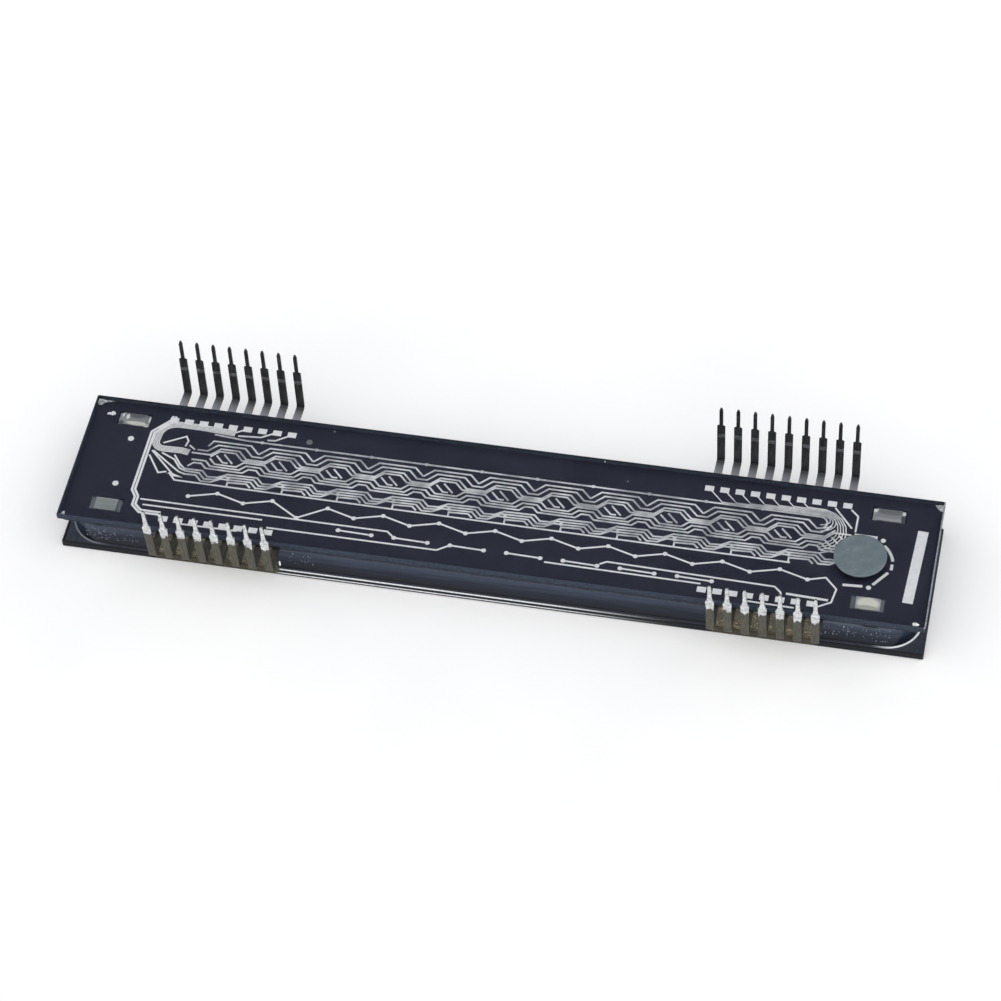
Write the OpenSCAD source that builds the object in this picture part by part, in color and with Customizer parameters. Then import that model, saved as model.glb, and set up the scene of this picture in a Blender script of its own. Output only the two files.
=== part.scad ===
// Vacuum fluorescent display with twelve digits, lying on its front glass with the wiring side up.
// X runs along the display, Y towards its far row of leads, and Z up from the front face.

/* [Glass envelope] */
// Length of both glass plates
plate_l = 130; // [120:1:160]
// Width of both glass plates
plate_w = 24; // [23:0.5:32]
// Thickness of the front cover glass
cover_t = 1.3; // [0.8:0.1:3]
// Thickness of the wiring substrate
substrate_t = 1.1; // [0.8:0.1:3]
// Ground arris on the plates' edges
arris = 0.2; // [0.05:0.05:0.35]

/* [Seal] */
// Height of the glass spacer wall
spacer_h = 3.9; // [3:0.1:8]
// Thickness of the spacer wall
spacer_t = 1; // [0.6:0.1:1.4]
// Distance from the plates' long edges to the spacer wall
wall_inset_side = 0.4; // [0.3:0.05:0.8]
// Distance from the plates' short edges to the spacer wall
wall_inset_end = 1; // [0.4:0.1:1.6]
// Outer corner radius of the spacer wall
corner_r = 5; // [3:0.5:6]
// Height of the frit seal on the cover glass
lower_frit_t = 0.3; // [0.2:0.05:0.8]
// Height of the frit seal that grips the leads
upper_frit_t = 0.9; // [0.6:0.05:1.5]
// Swell of the fired frit past the spacer wall
frit_swell = 0.2; // [0.05:0.05:0.25]

/* [Leads] */
// Spacing of the leads in a row
lead_pitch = 2.54; // [2.3:0.02:2.6]
// Width of a lead's shank
lead_w = 1.2; // [0.8:0.05:1.5]
// Thickness of the lead strip
lead_t = 0.25; // [0.15:0.05:0.4]
// Width of a lead's soldering tip
tip_w = 0.55; // [0.3:0.05:0.7]
// Width of a lead's toe under its pad
toe_w = 0.5; // [0.3:0.05:0.6]
// Distance from the plate's edge to the bend
lead_reach = 4; // [2:0.1:8]
// Drop of the lead from the seal to its bend
lead_drop = 0.4; // [0:0.05:1]
// Straight run of the lead past the plate's edge before it drops
lead_run = 0.3; // [0:0.05:1]
// Centre-line radius of the bend
bend_r = 0.5; // [0.3:0.05:1]
// Height of the shank above the bend
shank_h = 7.3; // [4:0.1:15]
// Height of the tip above the shank
tip_h = 3.9; // [2:0.1:8]
// Outward lean of the near row of leads
near_splay = 4.8; // [0:0.1:10]
// Outward lean of the far row of leads
far_splay = 0.3; // [0:0.1:10]
// Number of leads in the near left group
near_left_n = 8; // [4:1:8]
// Number of leads in the near right group
near_right_n = 7; // [4:1:7]
// Number of leads in the far left group
far_left_n = 8; // [4:1:8]
// Number of leads in the far right group
far_right_n = 9; // [4:1:9]
// Distance from the plate's left end to the first lead of the near left group
near_left_start = 15.9; // [15:0.1:18]
// Distance from the plate's left end to the first lead of the far left group
far_left_start = 13.1; // [12:0.1:16]
// Distance from the plate's right end to the last lead of the near right group
near_right_end = 15.4; // [15:0.1:18]
// Distance from the plate's right end to the last lead of the far right group
far_right_end = 13.9; // [12:0.1:16]

/* [Wiring film] */
// Thickness of the aluminium film
film_t = 0.03; // [0.02:0.01:0.06]
// Bond line between the film and the glass
film_gap = 0.01; // [0.005:0.005:0.02]
// Width of a wiring trace
trace_w = 0.28; // [0.2:0.01:0.32]
// Spacing of neighbouring traces
trace_s = 0.68; // [0.6:0.01:0.8]
// Diameter of a via dot
via_d = 0.75; // [0.5:0.05:0.9]
// Spacing of the contact pads
pad_pitch = 2.3; // [2.1:0.02:2.5]
// Length of a contact pad along its row
pad_l = 1.35; // [1:0.05:1.6]
// Width of a contact pad
pad_w = 1; // [0.8:0.05:1.2]
// Distance from the plates' long edges to the middle of the pads
pad_inset = 2.5; // [2.4:0.05:2.7]
// Distance from the plate's left end to the first pad of the near left group
near_left_pads = 15.8; // [15.6:0.1:17]
// Distance from the plate's right end to the last pad of the near right group
near_right_pads = 16.9; // [16:0.1:17.2]
// Distance from the plate's left end to the first pad of the far left group
far_left_pads = 12.7; // [12.4:0.1:13]
// Distance from the plate's right end to the last pad of the far right group
far_right_pads = 14.2; // [14:0.1:15]
// Turn of the whole print on the plate
print_turn = -0.3; // [-0.5:0.1:0.5]

/* [Printed layers] */
// Thickness of the black insulating print
black_t = 0.06; // [0.04:0.01:0.1]
// Distance from the plate's edge to the black print
black_inset = 0.1; // [0.05:0.05:0.4]
// Corner radius of the black print
black_r = 1.4; // [0.5:0.1:3]
// Thickness of the phosphor-coated anodes
anode_t = 0.06; // [0.04:0.01:0.1]

/* [Digits] */
// Number of digits
digits = 12; // [8:1:14]
// Distance from the plate's left end to the first digit's field
digits_left = 14.2; // [13:0.1:16]
// Distance from the plate's right end to the last digit's field
digits_right = 13.8; // [13:0.1:16]
// Height of a digit
digit_h = 7.6; // [6:0.1:8]
// Width of a digit
digit_w = 4.4; // [3.5:0.1:5]
// Width of a digit's segments
segment_w = 0.8; // [0.5:0.05:1]
// Gap between a digit's segments
segment_gap = 0.15; // [0.05:0.05:0.3]
// Diameter of the decimal point
dot_d = 0.9; // [0.6:0.05:1]
// Distance from a digit's side to its decimal point
dot_out = 0.7; // [0.6:0.05:0.9]
// Offset of the digits from the centre line
digit_y = 2.1; // [1:0.1:2.6]

/* [Grids] */
// Height of a grid across the display
grid_h = 15; // [13:0.5:16]
// Gap between neighbouring grids
grid_gap = 0.6; // [0.4:0.05:1]
// Thickness of the etched grid sheet
grid_t = 0.05; // [0.04:0.01:0.1]
// Distance from the anodes to the grid
grid_drop = 0.6; // [0.4:0.05:0.9]
// Width of the grid's solid rim
grid_rim = 0.5; // [0.3:0.05:0.8]
// Width of a grid's stand-off tab
grid_tab = 1.2; // [0.6:0.1:2]
// Offset of the grids from the centre line
grid_y = -0.3; // [-0.6:0.1:0.2]
// Spacing of the grid's openings
mesh_pitch = 1.9; // [1.6:0.1:2.6]
// Width of the web between openings
mesh_web = 0.25; // [0.15:0.05:0.4]

/* [Filaments] */
// Diameter of a coated filament
filament_d = 0.06; // [0.04:0.01:0.1]
// Number of filaments
filament_n = 3; // [2:1:4]
// Spacing of the filaments
filament_s = 4.4; // [3:0.1:5]
// Distance from the black print to the filament supports' crossbar
filament_drop = 1.8; // [1.6:0.1:2.5]
// Thickness of the supports' sheet metal
sheet_t = 0.2; // [0.1:0.05:0.25]
// Length of a support foot
foot_l = 4.8; // [4:0.1:5]
// Width of a support foot
foot_w = 2.2; // [1.8:0.1:2.4]
// Length of the stepped tab at each end of a foot
foot_step = 0.6; // [0.3:0.1:1]
// Clearance from a foot to the edge of its window in the black print
foot_clear = 0.15; // [0.1:0.05:0.2]
// Distance from the plate's left end to the anchor support
anchor_end = 6.6; // [6.2:0.1:7]
// Distance from the plate's right end to the spring support
spring_end = 8.4; // [8:0.1:8.8]
// Shift of the spring support's two feet, far one outwards and near one inwards
spring_foot_shift = 0.5; // [0:0.1:0.6]
// Distance from the plates' far edge to the middle of the far feet
far_foot_inset = 3.3; // [3.2:0.1:3.8]
// Distance from the plates' near edge to the middle of the near feet
near_foot_inset = 3.9; // [3.4:0.1:4.2]
// Width of a support post
post_w = 1.6; // [1:0.1:2]
// Length of a spring leaf
leaf_l = 3.4; // [2:0.1:4]
// Length of an anchor tab
tab_l = 1.8; // [1:0.1:2.5]
// Width of the leaves and tabs
leaf_w = 0.7; // [0.4:0.05:1]
// Length of filament welded to its leaf or tab
weld_l = 0.8; // [0.4:0.1:1.2]

/* [Getter and exhaust] */
// Mean diameter of the getter ring
getter_d = 5; // [4:0.1:6]
// Width of the getter's channel
getter_w = 0.8; // [0.6:0.05:1]
// Height of the getter's channel
getter_h = 0.7; // [0.5:0.05:1]
// Wall of the getter's channel
getter_t = 0.15; // [0.1:0.01:0.2]
// Distance from the crossbar to the bottom of the getter
getter_drop = 1.6; // [1.3:0.1:2.4]
// Width of the getter's stem
getter_stem_w = 0.8; // [0.4:0.05:1.2]
// Thickness of the getter's stem
getter_stem_t = 0.2; // [0.1:0.05:0.4]
// Distance from the plate's right end to the exhaust hole
exhaust_end = 11; // [10:0.1:11.5]
// Offset of the exhaust hole from the centre line
exhaust_y = -0.5; // [-1:0.1:1]
// Diameter of the exhaust hole
exhaust_d = 2; // [1:0.1:3]
// Margin of bare glass round the exhaust hole
exhaust_margin = 0.2; // [0.1:0.05:0.5]
// Diameter of the disc that closes the exhaust hole
plug_d = 7.8; // [6:0.1:8]
// Thickness of the closing disc
plug_t = 0.4; // [0.3:0.05:1]
// Thickness of the frit under the closing disc
plug_frit_t = 0.1; // [0.05:0.05:0.2]
// Step from the disc's rim to the frit's rim
plug_frit_step = 0.15; // [0.1:0.05:0.5]
// Ground edge of the closing disc
plug_edge = 0.1; // [0.05:0.01:0.14]

/* [Hidden] */
$fn = 48;
z_spacer = cover_t + lower_frit_t;
z_upper_frit = z_spacer + spacer_h;
z_black = z_upper_frit + upper_frit_t;
z_film = z_black + black_t;
z_bond = z_film + film_t;
z_substrate = z_bond + film_gap;
z_back = z_substrate + substrate_t;
z_anode = z_black - anode_t;
z_grid = z_anode - grid_drop;
z_bar = z_black - filament_drop;

half_l = plate_l / 2;
half_w = plate_w / 2;
wall_l = plate_l - 2 * wall_inset_end;
wall_w = plate_w - 2 * wall_inset_side;
pad_y = half_w - pad_inset;
toe_y = half_w - wall_inset_side - spacer_t;
toe_land = 0.5;
toe_lap = 0.1;
bend_steps = 6;
via_sides = 8;
frit_steps = 6;
through = 1;

digit_pitch = (plate_l - digits_left - digits_right) / digits;
first_digit_x = -half_l + digits_left + digit_pitch / 2;
exhaust_x = half_l - exhaust_end;
anchor_x = -half_l + anchor_end;
spring_x = half_l - spring_end;

function digit_x(i) = first_digit_x + i * digit_pitch;
function padded(n) = n < 10 ? str("0", n) : str(n);
function filament_y(k) = grid_y + (k - (filament_n - 1) / 2) * filament_s;

// The far groups have one pad more than leads, and skip it past their middle.
function pad_slot(i, n) = i < 0.6 * n ? i : i + 1;

// A lead is [x, side, x of its pad]: side is -1 on the near row and 1 on the far row.
near_left_pad = -half_l + near_left_pads;
near_right_pad = half_l - near_right_pads;
far_left_pad = -half_l + far_left_pads;
far_right_pad = half_l - far_right_pads;
LEADS = concat(
    [for (i = [0:near_left_n - 1])
        [-half_l + near_left_start + i * lead_pitch, -1, near_left_pad + i * pad_pitch]],
    [for (i = [near_right_n - 1:-1:0])
        [half_l - near_right_end - i * lead_pitch, -1, near_right_pad - i * pad_pitch]],
    [for (i = [0:far_right_n - 1])
        [half_l - far_right_end - i * lead_pitch, 1, far_right_pad - pad_slot(i, far_right_n) * pad_pitch]],
    [for (i = [far_left_n - 1:-1:0])
        [-half_l + far_left_start + i * lead_pitch, 1, far_left_pad + pad_slot(i, far_left_n) * pad_pitch]]);

LEAD_NAMES = [for (i = [0:len(LEADS) - 1]) str("lead_", padded(i + 1))];
GRID_NAMES = [for (i = [0:digits - 1]) str("grid_", padded(i + 1))];
FILAMENT_NAMES = [for (k = [0:filament_n - 1]) str("filament_", k + 1)];

// Outlines drawn along a path

function unit(v) = v / norm(v);
function left_of(v) = [-v[1], v[0]];

// Offset vector of unit trace width at point i of a path, mitred between its two segments.
function mitre(p, i) =
    let (last = len(p) - 1)
    let (before = unit(p[max(i, 1)] - p[max(i, 1) - 1]))
    let (after = unit(p[min(i, last - 1) + 1] - p[min(i, last - 1)]))
    let (n = unit(left_of(before) + left_of(after)))
    n / (n * left_of(before));

function beside(p, d) = [for (i = [0:len(p) - 1]) p[i] + d * mitre(p, i)];
function turned(p) = [for (i = [len(p) - 1:-1:0]) p[i]];
function shifted(p, d) = [for (q = p) q + d];
function arc(c, r, from, to, steps) =
    [for (i = [0:steps]) c + r * [cos(from + (to - from) * i / steps), sin(from + (to - from) * i / steps)]];

// A strip of even width along a path.
module strip(p, w) {
    polygon(concat(beside(p, w / 2), turned(beside(p, -w / 2))));
}

// A trace of the aluminium film.
module trace(p, w = trace_w) {
    linear_extrude(film_t)
        strip(p, w);
}

module via(x, y, d = via_d) {
    translate([x, y, 0])
        cylinder(h = film_t, d = d, $fn = via_sides);
}

// Several fine traces side by side along one path, spread evenly over a band.
module ribbon(p, n, band, w) {
    for (i = [0:n - 1])
        trace(beside(p, band * (i / (n - 1) - 0.5)), w);
}

module rounded_plan(l, w, r) {
    square([l - 2 * r, w], center = true);
    square([l, w - 2 * r], center = true);
    for (x = [-1, 1], y = [-1, 1])
        translate([x * (l / 2 - r), y * (w / 2 - r)])
            circle(r = r);
}

// Glass envelope

module bevelled_rect(a, b) {
    polygon([
        [-a / 2 + arris, -b / 2], [a / 2 - arris, -b / 2], [a / 2, -b / 2 + arris], [a / 2, b / 2 - arris],
        [a / 2 - arris, b / 2], [-a / 2 + arris, b / 2], [-a / 2, b / 2 - arris], [-a / 2, -b / 2 + arris]]);
}

// A cut plate with every edge ground to a small flat.
module glass_plate(t) {
    translate([0, 0, t / 2])
        intersection() {
            linear_extrude(t, center = true)
                bevelled_rect(plate_l, plate_w);
            rotate([90, 0, 0])
                linear_extrude(plate_w, center = true)
                    bevelled_rect(plate_l, t);
            rotate([90, 0, 90])
                linear_extrude(plate_l, center = true)
                    bevelled_rect(plate_w, t);
        }
}

module cover_glass() {
    color("#3a3f4b")
        glass_plate(cover_t);
}

module substrate_glass() {
    color("#9aa6b0", 0.4)
        difference() {
            translate([0, 0, z_substrate])
                glass_plate(substrate_t);
            translate([exhaust_x, exhaust_y, z_substrate - through])
                cylinder(h = substrate_t + 2 * through, d = exhaust_d);
        }
}

// Sweeps a profile round the wall: its x is measured outwards from the wall's outer face.
module round_the_wall() {
    for (side = [0, 180])
        rotate(side) {
            translate([0, wall_w / 2, 0])
                rotate([90, 0, 90])
                    linear_extrude(wall_l - 2 * corner_r, center = true)
                        children();
            translate([wall_l / 2, 0, 0])
                rotate([90, 0, 0])
                    linear_extrude(wall_w - 2 * corner_r, center = true)
                        children();
            for (y = [-1, 1])
                translate([wall_l / 2 - corner_r, y * (wall_w / 2 - corner_r), 0])
                    rotate(y < 0 ? -90 : 0)
                        rotate_extrude(angle = 90)
                            translate([corner_r, 0])
                                children();
        }
}

// The fired frit bellies out past the wall and feathers to its top and bottom.
module frit_profile(h) {
    polygon(concat(
        [[-spacer_t, 0]],
        [for (i = [0:frit_steps]) [frit_swell * sin(180 * i / frit_steps), h * i / frit_steps]],
        [[-spacer_t, h]]));
}

module spacer_frame() {
    color("#4a515c")
        translate([0, 0, z_spacer])
            round_the_wall()
                translate([-spacer_t, 0])
                    square([spacer_t, spacer_h]);
}

module lower_frit_seal() {
    color("#59616a")
        translate([0, 0, cover_t])
            round_the_wall()
                frit_profile(lower_frit_t);
}

module upper_frit_seal() {
    color("#5d5a4c")
        difference() {
            translate([0, 0, z_upper_frit])
                round_the_wall()
                    frit_profile(upper_frit_t);
            for (lead = LEADS)
                translate([lead[0], lead[1] * (half_w + toe_y) / 2, z_black + (through - lead_t) / 2])
                    cube([lead_w, half_w - toe_y + 2 * through, lead_t + through], center = true);
        }
}

// Leads

// Side view of a lead from the seal to the foot of its shank, as [distance past the plate's edge, height].
function lead_path(splay) =
    let (z0 = z_black - lead_t / 2)
    let (z1 = z0 - lead_drop)
    concat(
        [[toe_y - half_w, z0], [lead_run, z0]],
        arc([lead_reach - bend_r, z1 + bend_r], bend_r, -90, -splay, bend_steps));

// Plan of the flat lead blank above its bend: shank, shoulders and tip.
module lead_blade() {
    shoulder = (lead_w - tip_w) / 2;
    polygon([
        [-lead_w / 2, 0], [lead_w / 2, 0], [lead_w / 2, shank_h - shoulder / 2], [tip_w / 2, shank_h],
        [tip_w / 2, shank_h + tip_h - tip_w], [tip_w / 4, shank_h + tip_h], [-tip_w / 4, shank_h + tip_h],
        [-tip_w / 2, shank_h + tip_h - tip_w], [-tip_w / 2, shank_h], [-lead_w / 2, shank_h - shoulder / 2]]);
}

module lead(i) {
    x = LEADS[i][0];
    side = LEADS[i][1];
    pad_x = LEADS[i][2];
    splay = side < 0 ? near_splay : far_splay;
    path = lead_path(splay);
    foot = path[len(path) - 1];
    toe = [
        [x, side * (toe_y + toe_lap)], [x, side * (toe_y - toe_land)],
        [pad_x, side * (pad_y + toe_land / 2)], [pad_x, side * (pad_y - pad_w / 2)]];
    color("#a9a58f") {
        translate([x, 0, 0])
            mirror([0, side < 0 ? 1 : 0, 0])
                translate([0, half_w, 0]) {
                    rotate([90, 0, 90])
                        linear_extrude(lead_w, center = true)
                            strip(path, lead_t);
                    translate([0, foot[0], foot[1]])
                        rotate([90 - splay, 0, 0])
                            linear_extrude(lead_t, center = true)
                                lead_blade();
                }
        translate([0, 0, z_black - lead_t])
            linear_extrude(lead_t)
                strip(toe, toe_w);
    }
}

// Wiring film

// A line that runs through every digit: its points are given from the digit's centre, [x, y].
function wave(points) =
    [for (i = [0:digits - 1]) for (p = points) if (i > 0 || p[0] > -1.7) p + [digit_x(i), 0]];

// A line that dips in a V at every digit, k lines in from the outermost.
function dip_line(k) =
    let (y = 6.2 - k * trace_s)
    let (dip = 2 * trace_s)
    let (before = 0.1 + 0.75 * k)
    let (after = 0.1 + 0.6 * k)
    [[-before - dip, y], [-before, y - dip], [after, y - dip], [after + dip, y]];

// A line that climbs to a flat top between the digits and comes back to the waist of each.
function peak_line(y, x, lift) =
    let (top = x + lift)
    [[-x - 0.8, y], [x, y], [top, y + lift], [digit_pitch - top - 0.8, y + lift]];

// A line that is raised under every digit, k lines in from the waist.
function hump_line(k) =
    let (y = 1.8 - 0.5 * k)
    let (lift = 1 - 0.1 * k)
    let (x = 1.4 - 0.5 * k)
    [[-x - lift - 0.4, y], [-x - 0.4, y + lift], [x, y + lift], [x + lift, y], [5, y]];

// A line that sags after every digit, k lines below the first.
function sag_line(k) =
    let (y = 0.25 - 0.5 * k)
    let (x = 0.9 - 0.4 * k)
    [[-3 - 0.1 * k, y - 0.1], [x, y], [x + 1, y - 1], [x + 2.6, y - 0.9], [x + 3.9, y - 0.1]];

// The lines from the far side of the lattice to the near side.
lattice_lines = [
    dip_line(1), dip_line(2), peak_line(3.15, 1.4, 1.2), hump_line(0), hump_line(1), hump_line(2),
    sag_line(0), sag_line(1), sag_line(2)];

// What leads the near lines in from the left-hand fan, counted from the plate's left end.
lead_ins = [
    [], [], [], [], [], [],
    [[14.4, 2.6], [15.7, 0.9], [16.6, 0.2]],
    [[12.4, 2.7], [14.6, 1.7], [15.8, 0.2], [16.8, -0.2]],
    [[11, 2.9], [14.5, 0.4], [15.8, -0.5], [16.8, -0.8]]];

// The outermost line turns back on itself past the last digit.
module rail_line() {
    right = digit_x(digits - 1);
    dips = wave(dip_line(0));
    run = [for (p = dips) if (p[0] > digit_x(0) + 2 && p[0] < right + 0.15) p];
    trace(concat(
        [[digit_x(0) + 0.6, 5.1], [digit_x(0) + 1.2, 6.2]], run,
        arc([right + 0.2, 5.95], 1.1, -60, 90, 6),
        [[digit_x(0) + 6, 7.1], [digit_x(0) + 1, 7.5]]));
    for (i = [1:digits - 2])
        via(digit_x(i), 7.1, 0.6);
}

module lattice() {
    rail_line();
    for (k = [0:len(lattice_lines) - 1])
        trace(concat(shifted(lead_ins[k], [-half_l, 0]), wave(lattice_lines[k])));
    for (i = [0:digits - 1])
        translate([digit_x(i), 0]) {
            if (i > 0)
                trace([[-3.3, -2.05], [-3.3, -1.35], [-0.4, -1.2], [0.3, -1.85]]);
            trace([[2.3, 3.5], [3.5, 2.3], [4.3, 2.3]]);
            trace([[3.4, 3.9], [5, 2.3]]);
            if (i > 0)
                via(-3.4, -0.8, 0.65);
        }
    trace([[-half_l + 14.4, -0.9], [-half_l + 15.6, -2.2], [digit_x(digits - 1) - 3, -2.2]]);
}

// One line of dots strung under the digits in a zigzag, turned down to its pad at the right-hand end.
module zigzag_line() {
    low = -4.9;
    high = -3.7;
    tie = -6.25;
    points = [for (i = [0:2 * digits - 2])
        [digit_x(0) + i * digit_pitch / 2, i == 4 ? tie : i % 2 == 0 ? low : high]];
    right = digit_x(digits - 1);
    turn = [[2.6, high - 0.4], [4.4, low - 1.1], [4, low - 3.6], [2, low - 4.8]];
    trace(concat(points, shifted(turn, [right, 0])));
    for (p = points)
        via(p[0], p[1]);
}

// Short links between pairs of dots, and the long runs that feed them.
module lower_lines() {
    left = -half_l + 11.5;
    right = digit_x(digits - 2) + 5;
    for (i = [3:digits - 3]) {
        x = digit_x(i);
        upper = [[left, -6.6], [x - 3, -6.5]];
        lower = [[left + 20, -8.8], [x - 3.6, -8.7]];
        feed = i == 4 ? upper : i == 5 ? lower : [];
        trace(concat(feed, [[x - 1.8, -7.5], [x + 3.3, -7.6]]));
        via(x - 1.8, -7.5);
        via(x + 3.3, -7.6);
    }
    trace([[left + 0.6, -7.6], [digit_x(1) + 3.6, -7.5]]);
    trace([[digit_x(6) + 4, -8.2], [digit_x(9) + 1.8, -8.3]]);
    start = digit_x(7) + 3.6;
    trace([[start, -7.2], [start + 1, -6.6], [right - 1, -7], [right, -7.9], [right + 0.3, -9]]);
    trace([[right + 0.8, -8], [right + 7, -8.2]], 0.4);
    trace([[near_left_pad + pad_pitch, -10.3], [near_left_pad + 5 * pad_pitch, -10.2]]);
    trace([[near_right_pad - 4 * pad_pitch, -10.3], [near_right_pad - pad_pitch, -10.4]]);
}

// The wide bus round the left-hand end and the ribbon that turns back into the lattice.
module left_fan() {
    x = -half_l;
    ribbon([[x + 12.5, 10], [x + 12.5, 9.2], [x + 10, 6.4], [x + 10, -5], [x + 10.8, -6.2], [x + 10.8, -7.8],
        [x + 12, -8.9], [x + 15.2, -8.9]], 2, 0.46, 0.36);
    ribbon(concat(
        [[x + 22.5, 8.2], [x + 17, 8.5], [x + 13.6, 8.5]],
        arc([x + 13.4, 6], 2.4, 100, 180, 5),
        arc([x + 12.3, 4.9], 1.4, 190, 270, 4),
        [[x + 15.2, 3.6], [digit_x(0) - 2, 3.4]]), 5, 0.96, 0.17);
    trace([[x + 12.1, 4.6], [x + 15.3, 6.4], [x + 15.8, 5.6], [x + 15.6, 4.5]]);
    trace([[x + 16.2, 4.8], [x + 17.2, 4.1]]);
    trace([[x + 10.8, 2.9], [x + 15, -1.1], [x + 15.9, -1.4], [digit_x(0) - 3.6, -1.4]]);
    trace([[x + 10.6, 2], [x + 12.8, -1.2], [x + 14, -0.8]]);
    trace([[far_left_pad + 5 * pad_pitch - 0.4, 9.2], [far_left_pad + 4 * pad_pitch + 0.6, 8.4]]);
    trace([[far_left_pad + 7 * pad_pitch - 0.5, 9.2], [far_left_pad + 6 * pad_pitch, 8.1], [x + 23, 7.8]]);
    trace([[far_left_pad + 8 * pad_pitch - 0.4, 9.1], [far_left_pad + 7 * pad_pitch, 7.8], [x + 27.6, 7.7]]);
}

// Fine traces that run from the far right pads round the end of the lattice and back into it.
module right_fan() {
    x = digit_x(digits - 1);
    first_pad = far_right_pad - far_right_n * pad_pitch;
    for (k = [0:6]) {
        end = lattice_lines[k][len(lattice_lines[k]) - 1];
        top = 7.35 + 0.2 * k;
        mid = (top + end[1]) / 2;
        rise = (top - end[1]) / 2;
        pad_x = first_pad + k * pad_pitch;
        turn = [for (i = [0:8]) [x + (1.7 + 0.44 * k) * cos(20 * i - 80), mid + rise * sin(20 * i - 80)]];
        trace(concat(turn, [[pad_x + 0.4 + 9.2 - top, top], [pad_x + 0.4, 9.2]]), 0.17);
    }
    trace([[far_right_pad - pad_pitch + 0.5, 9.1], [x + 5, 5.6]]);
    trace([[far_right_pad + 0.6, 9.1], [x + 5.6, 8], [x + 5.6, 5]]);
}

// Dashes and dots that ring the exhaust hole.
module exhaust_ring() {
    r = plug_d / 2 + 0.9;
    translate([exhaust_x, exhaust_y]) {
        trace([[-1.5, r + 0.2], [1.9, r + 0.2]], 0.5);
        via(2.8, r - 0.2, 0.8);
        trace(arc([0, 0], r, 50, 12, 5), 0.45);
        trace(arc([0, 0], r - 0.1, 5, -8, 2), 0.45);
        trace([[r - 0.5, -1.2], [2.4, 1 - r]], 0.45);
        via(1.9, 0.4 - r, 0.8);
        trace([[-1.9, 0.3 - r], [1, 0.5 - r]], 0.45);
    }
}

module pad_row(x, y, step, n) {
    for (i = [0:n - 1])
        translate([x + i * step, y])
            square([pad_l, pad_w], center = true);
}

// Plan of the pads: one for each lead, and a spare in three of the groups.
module pads() {
    pad_row(near_left_pad, -pad_y, pad_pitch, near_left_n);
    pad_row(near_right_pad, -pad_y, -pad_pitch, near_right_n + 1);
    pad_row(far_left_pad, pad_y, pad_pitch, far_left_n + 1);
    pad_row(far_right_pad, pad_y, -pad_pitch, far_right_n + 1);
}

module wiring_plan() {
    rotate(print_turn) {
        lattice();
        zigzag_line();
        lower_lines();
        left_fan();
        right_fan();
        exhaust_ring();
        for (y = [4.6, -4.3])
            via(-half_l + 7, y, 1);
        via(-half_l + 34, 8.4, 1);
        translate([half_l - 2.9, 0])
            rotate(-2.4)
                trace([[0, -6.8], [0, 6.8]], 1.55);
    }
}

// The film, and the pads built up through the black print to its lower face.
module wiring_film() {
    color("#e8eaec") {
        translate([0, 0, z_film])
            wiring_plan();
        translate([0, 0, z_black])
            linear_extrude(black_t + film_t)
                pads();
    }
}

// Printed layers

function foot_x(support, side) = support == "anchor" ? anchor_x : spring_x + side * spring_foot_shift;
function foot_y(side) = side > 0 ? half_w - far_foot_inset : near_foot_inset - half_w;

module black_print() {
    color("#16171c")
        translate([0, 0, z_black])
            linear_extrude(black_t)
                difference() {
                    rounded_plan(plate_l - 2 * black_inset, plate_w - 2 * black_inset, black_r);
                    pads();
                    for (support = ["anchor", "spring"], side = [-1, 1])
                        translate([foot_x(support, side), foot_y(side)])
                            square([foot_l + 2 * foot_clear, foot_w + 2 * foot_clear], center = true);
                    translate([exhaust_x, exhaust_y])
                        circle(d = exhaust_d + 2 * exhaust_margin);
                }
}

// A segment with pointed ends, lying along X.
module segment(l) {
    h = segment_w / 2;
    polygon([[-l / 2, 0], [-l / 2 + h, h], [l / 2 - h, h], [l / 2, 0], [l / 2 - h, -h], [-l / 2 + h, -h]]);
}

module digit_plan() {
    arm = digit_h / 2 - segment_w / 2;
    for (k = [-1:1])
        translate([0, k * arm])
            segment(digit_w - segment_w - segment_gap);
    for (x = [-1, 1], k = [-1, 1])
        translate([x * (digit_w - segment_w) / 2, k * arm / 2])
            rotate(90)
                segment(arm - segment_gap);
    translate([digit_w / 2 + dot_out, -digit_h / 2 + dot_d / 3])
        circle(d = dot_d);
}

module anode_segments() {
    color("#b9cfc4")
        translate([0, 0, z_anode])
            linear_extrude(anode_t)
                for (i = [0:digits - 1])
                    translate([digit_x(i) - dot_d / 3, digit_y])
                        digit_plan();
}

// Grids

module hexagon_field(l, w) {
    row = mesh_pitch * sin(60);
    cols = floor((l - mesh_pitch) / mesh_pitch);
    rows = floor((w - mesh_pitch) / row);
    for (j = [0:rows])
        for (i = [0:cols - j % 2])
            translate([(i - (cols - j % 2) / 2) * mesh_pitch, (j - rows / 2) * row])
                rotate(30)
                    circle(d = (mesh_pitch - mesh_web) / cos(30), $fn = 6);
}

// An etched sheet with a mesh field, and four tabs that stand it off the black print.
module grid(i) {
    w = digit_pitch - grid_gap;
    stand = z_black - z_grid + grid_t;
    color("#8d8f92")
        translate([digit_x(i), grid_y, z_grid - grid_t]) {
            linear_extrude(grid_t)
                difference() {
                    square([w, grid_h], center = true);
                    hexagon_field(w - 2 * grid_rim, grid_h - 2 * grid_rim);
                }
            for (x = [-1, 1], y = [-1, 1])
                translate([x * (w - grid_tab) / 2, y * (grid_h - grid_t) / 2, stand / 2])
                    cube([grid_tab, grid_t, stand], center = true);
        }
}

// Filaments and their supports

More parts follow.
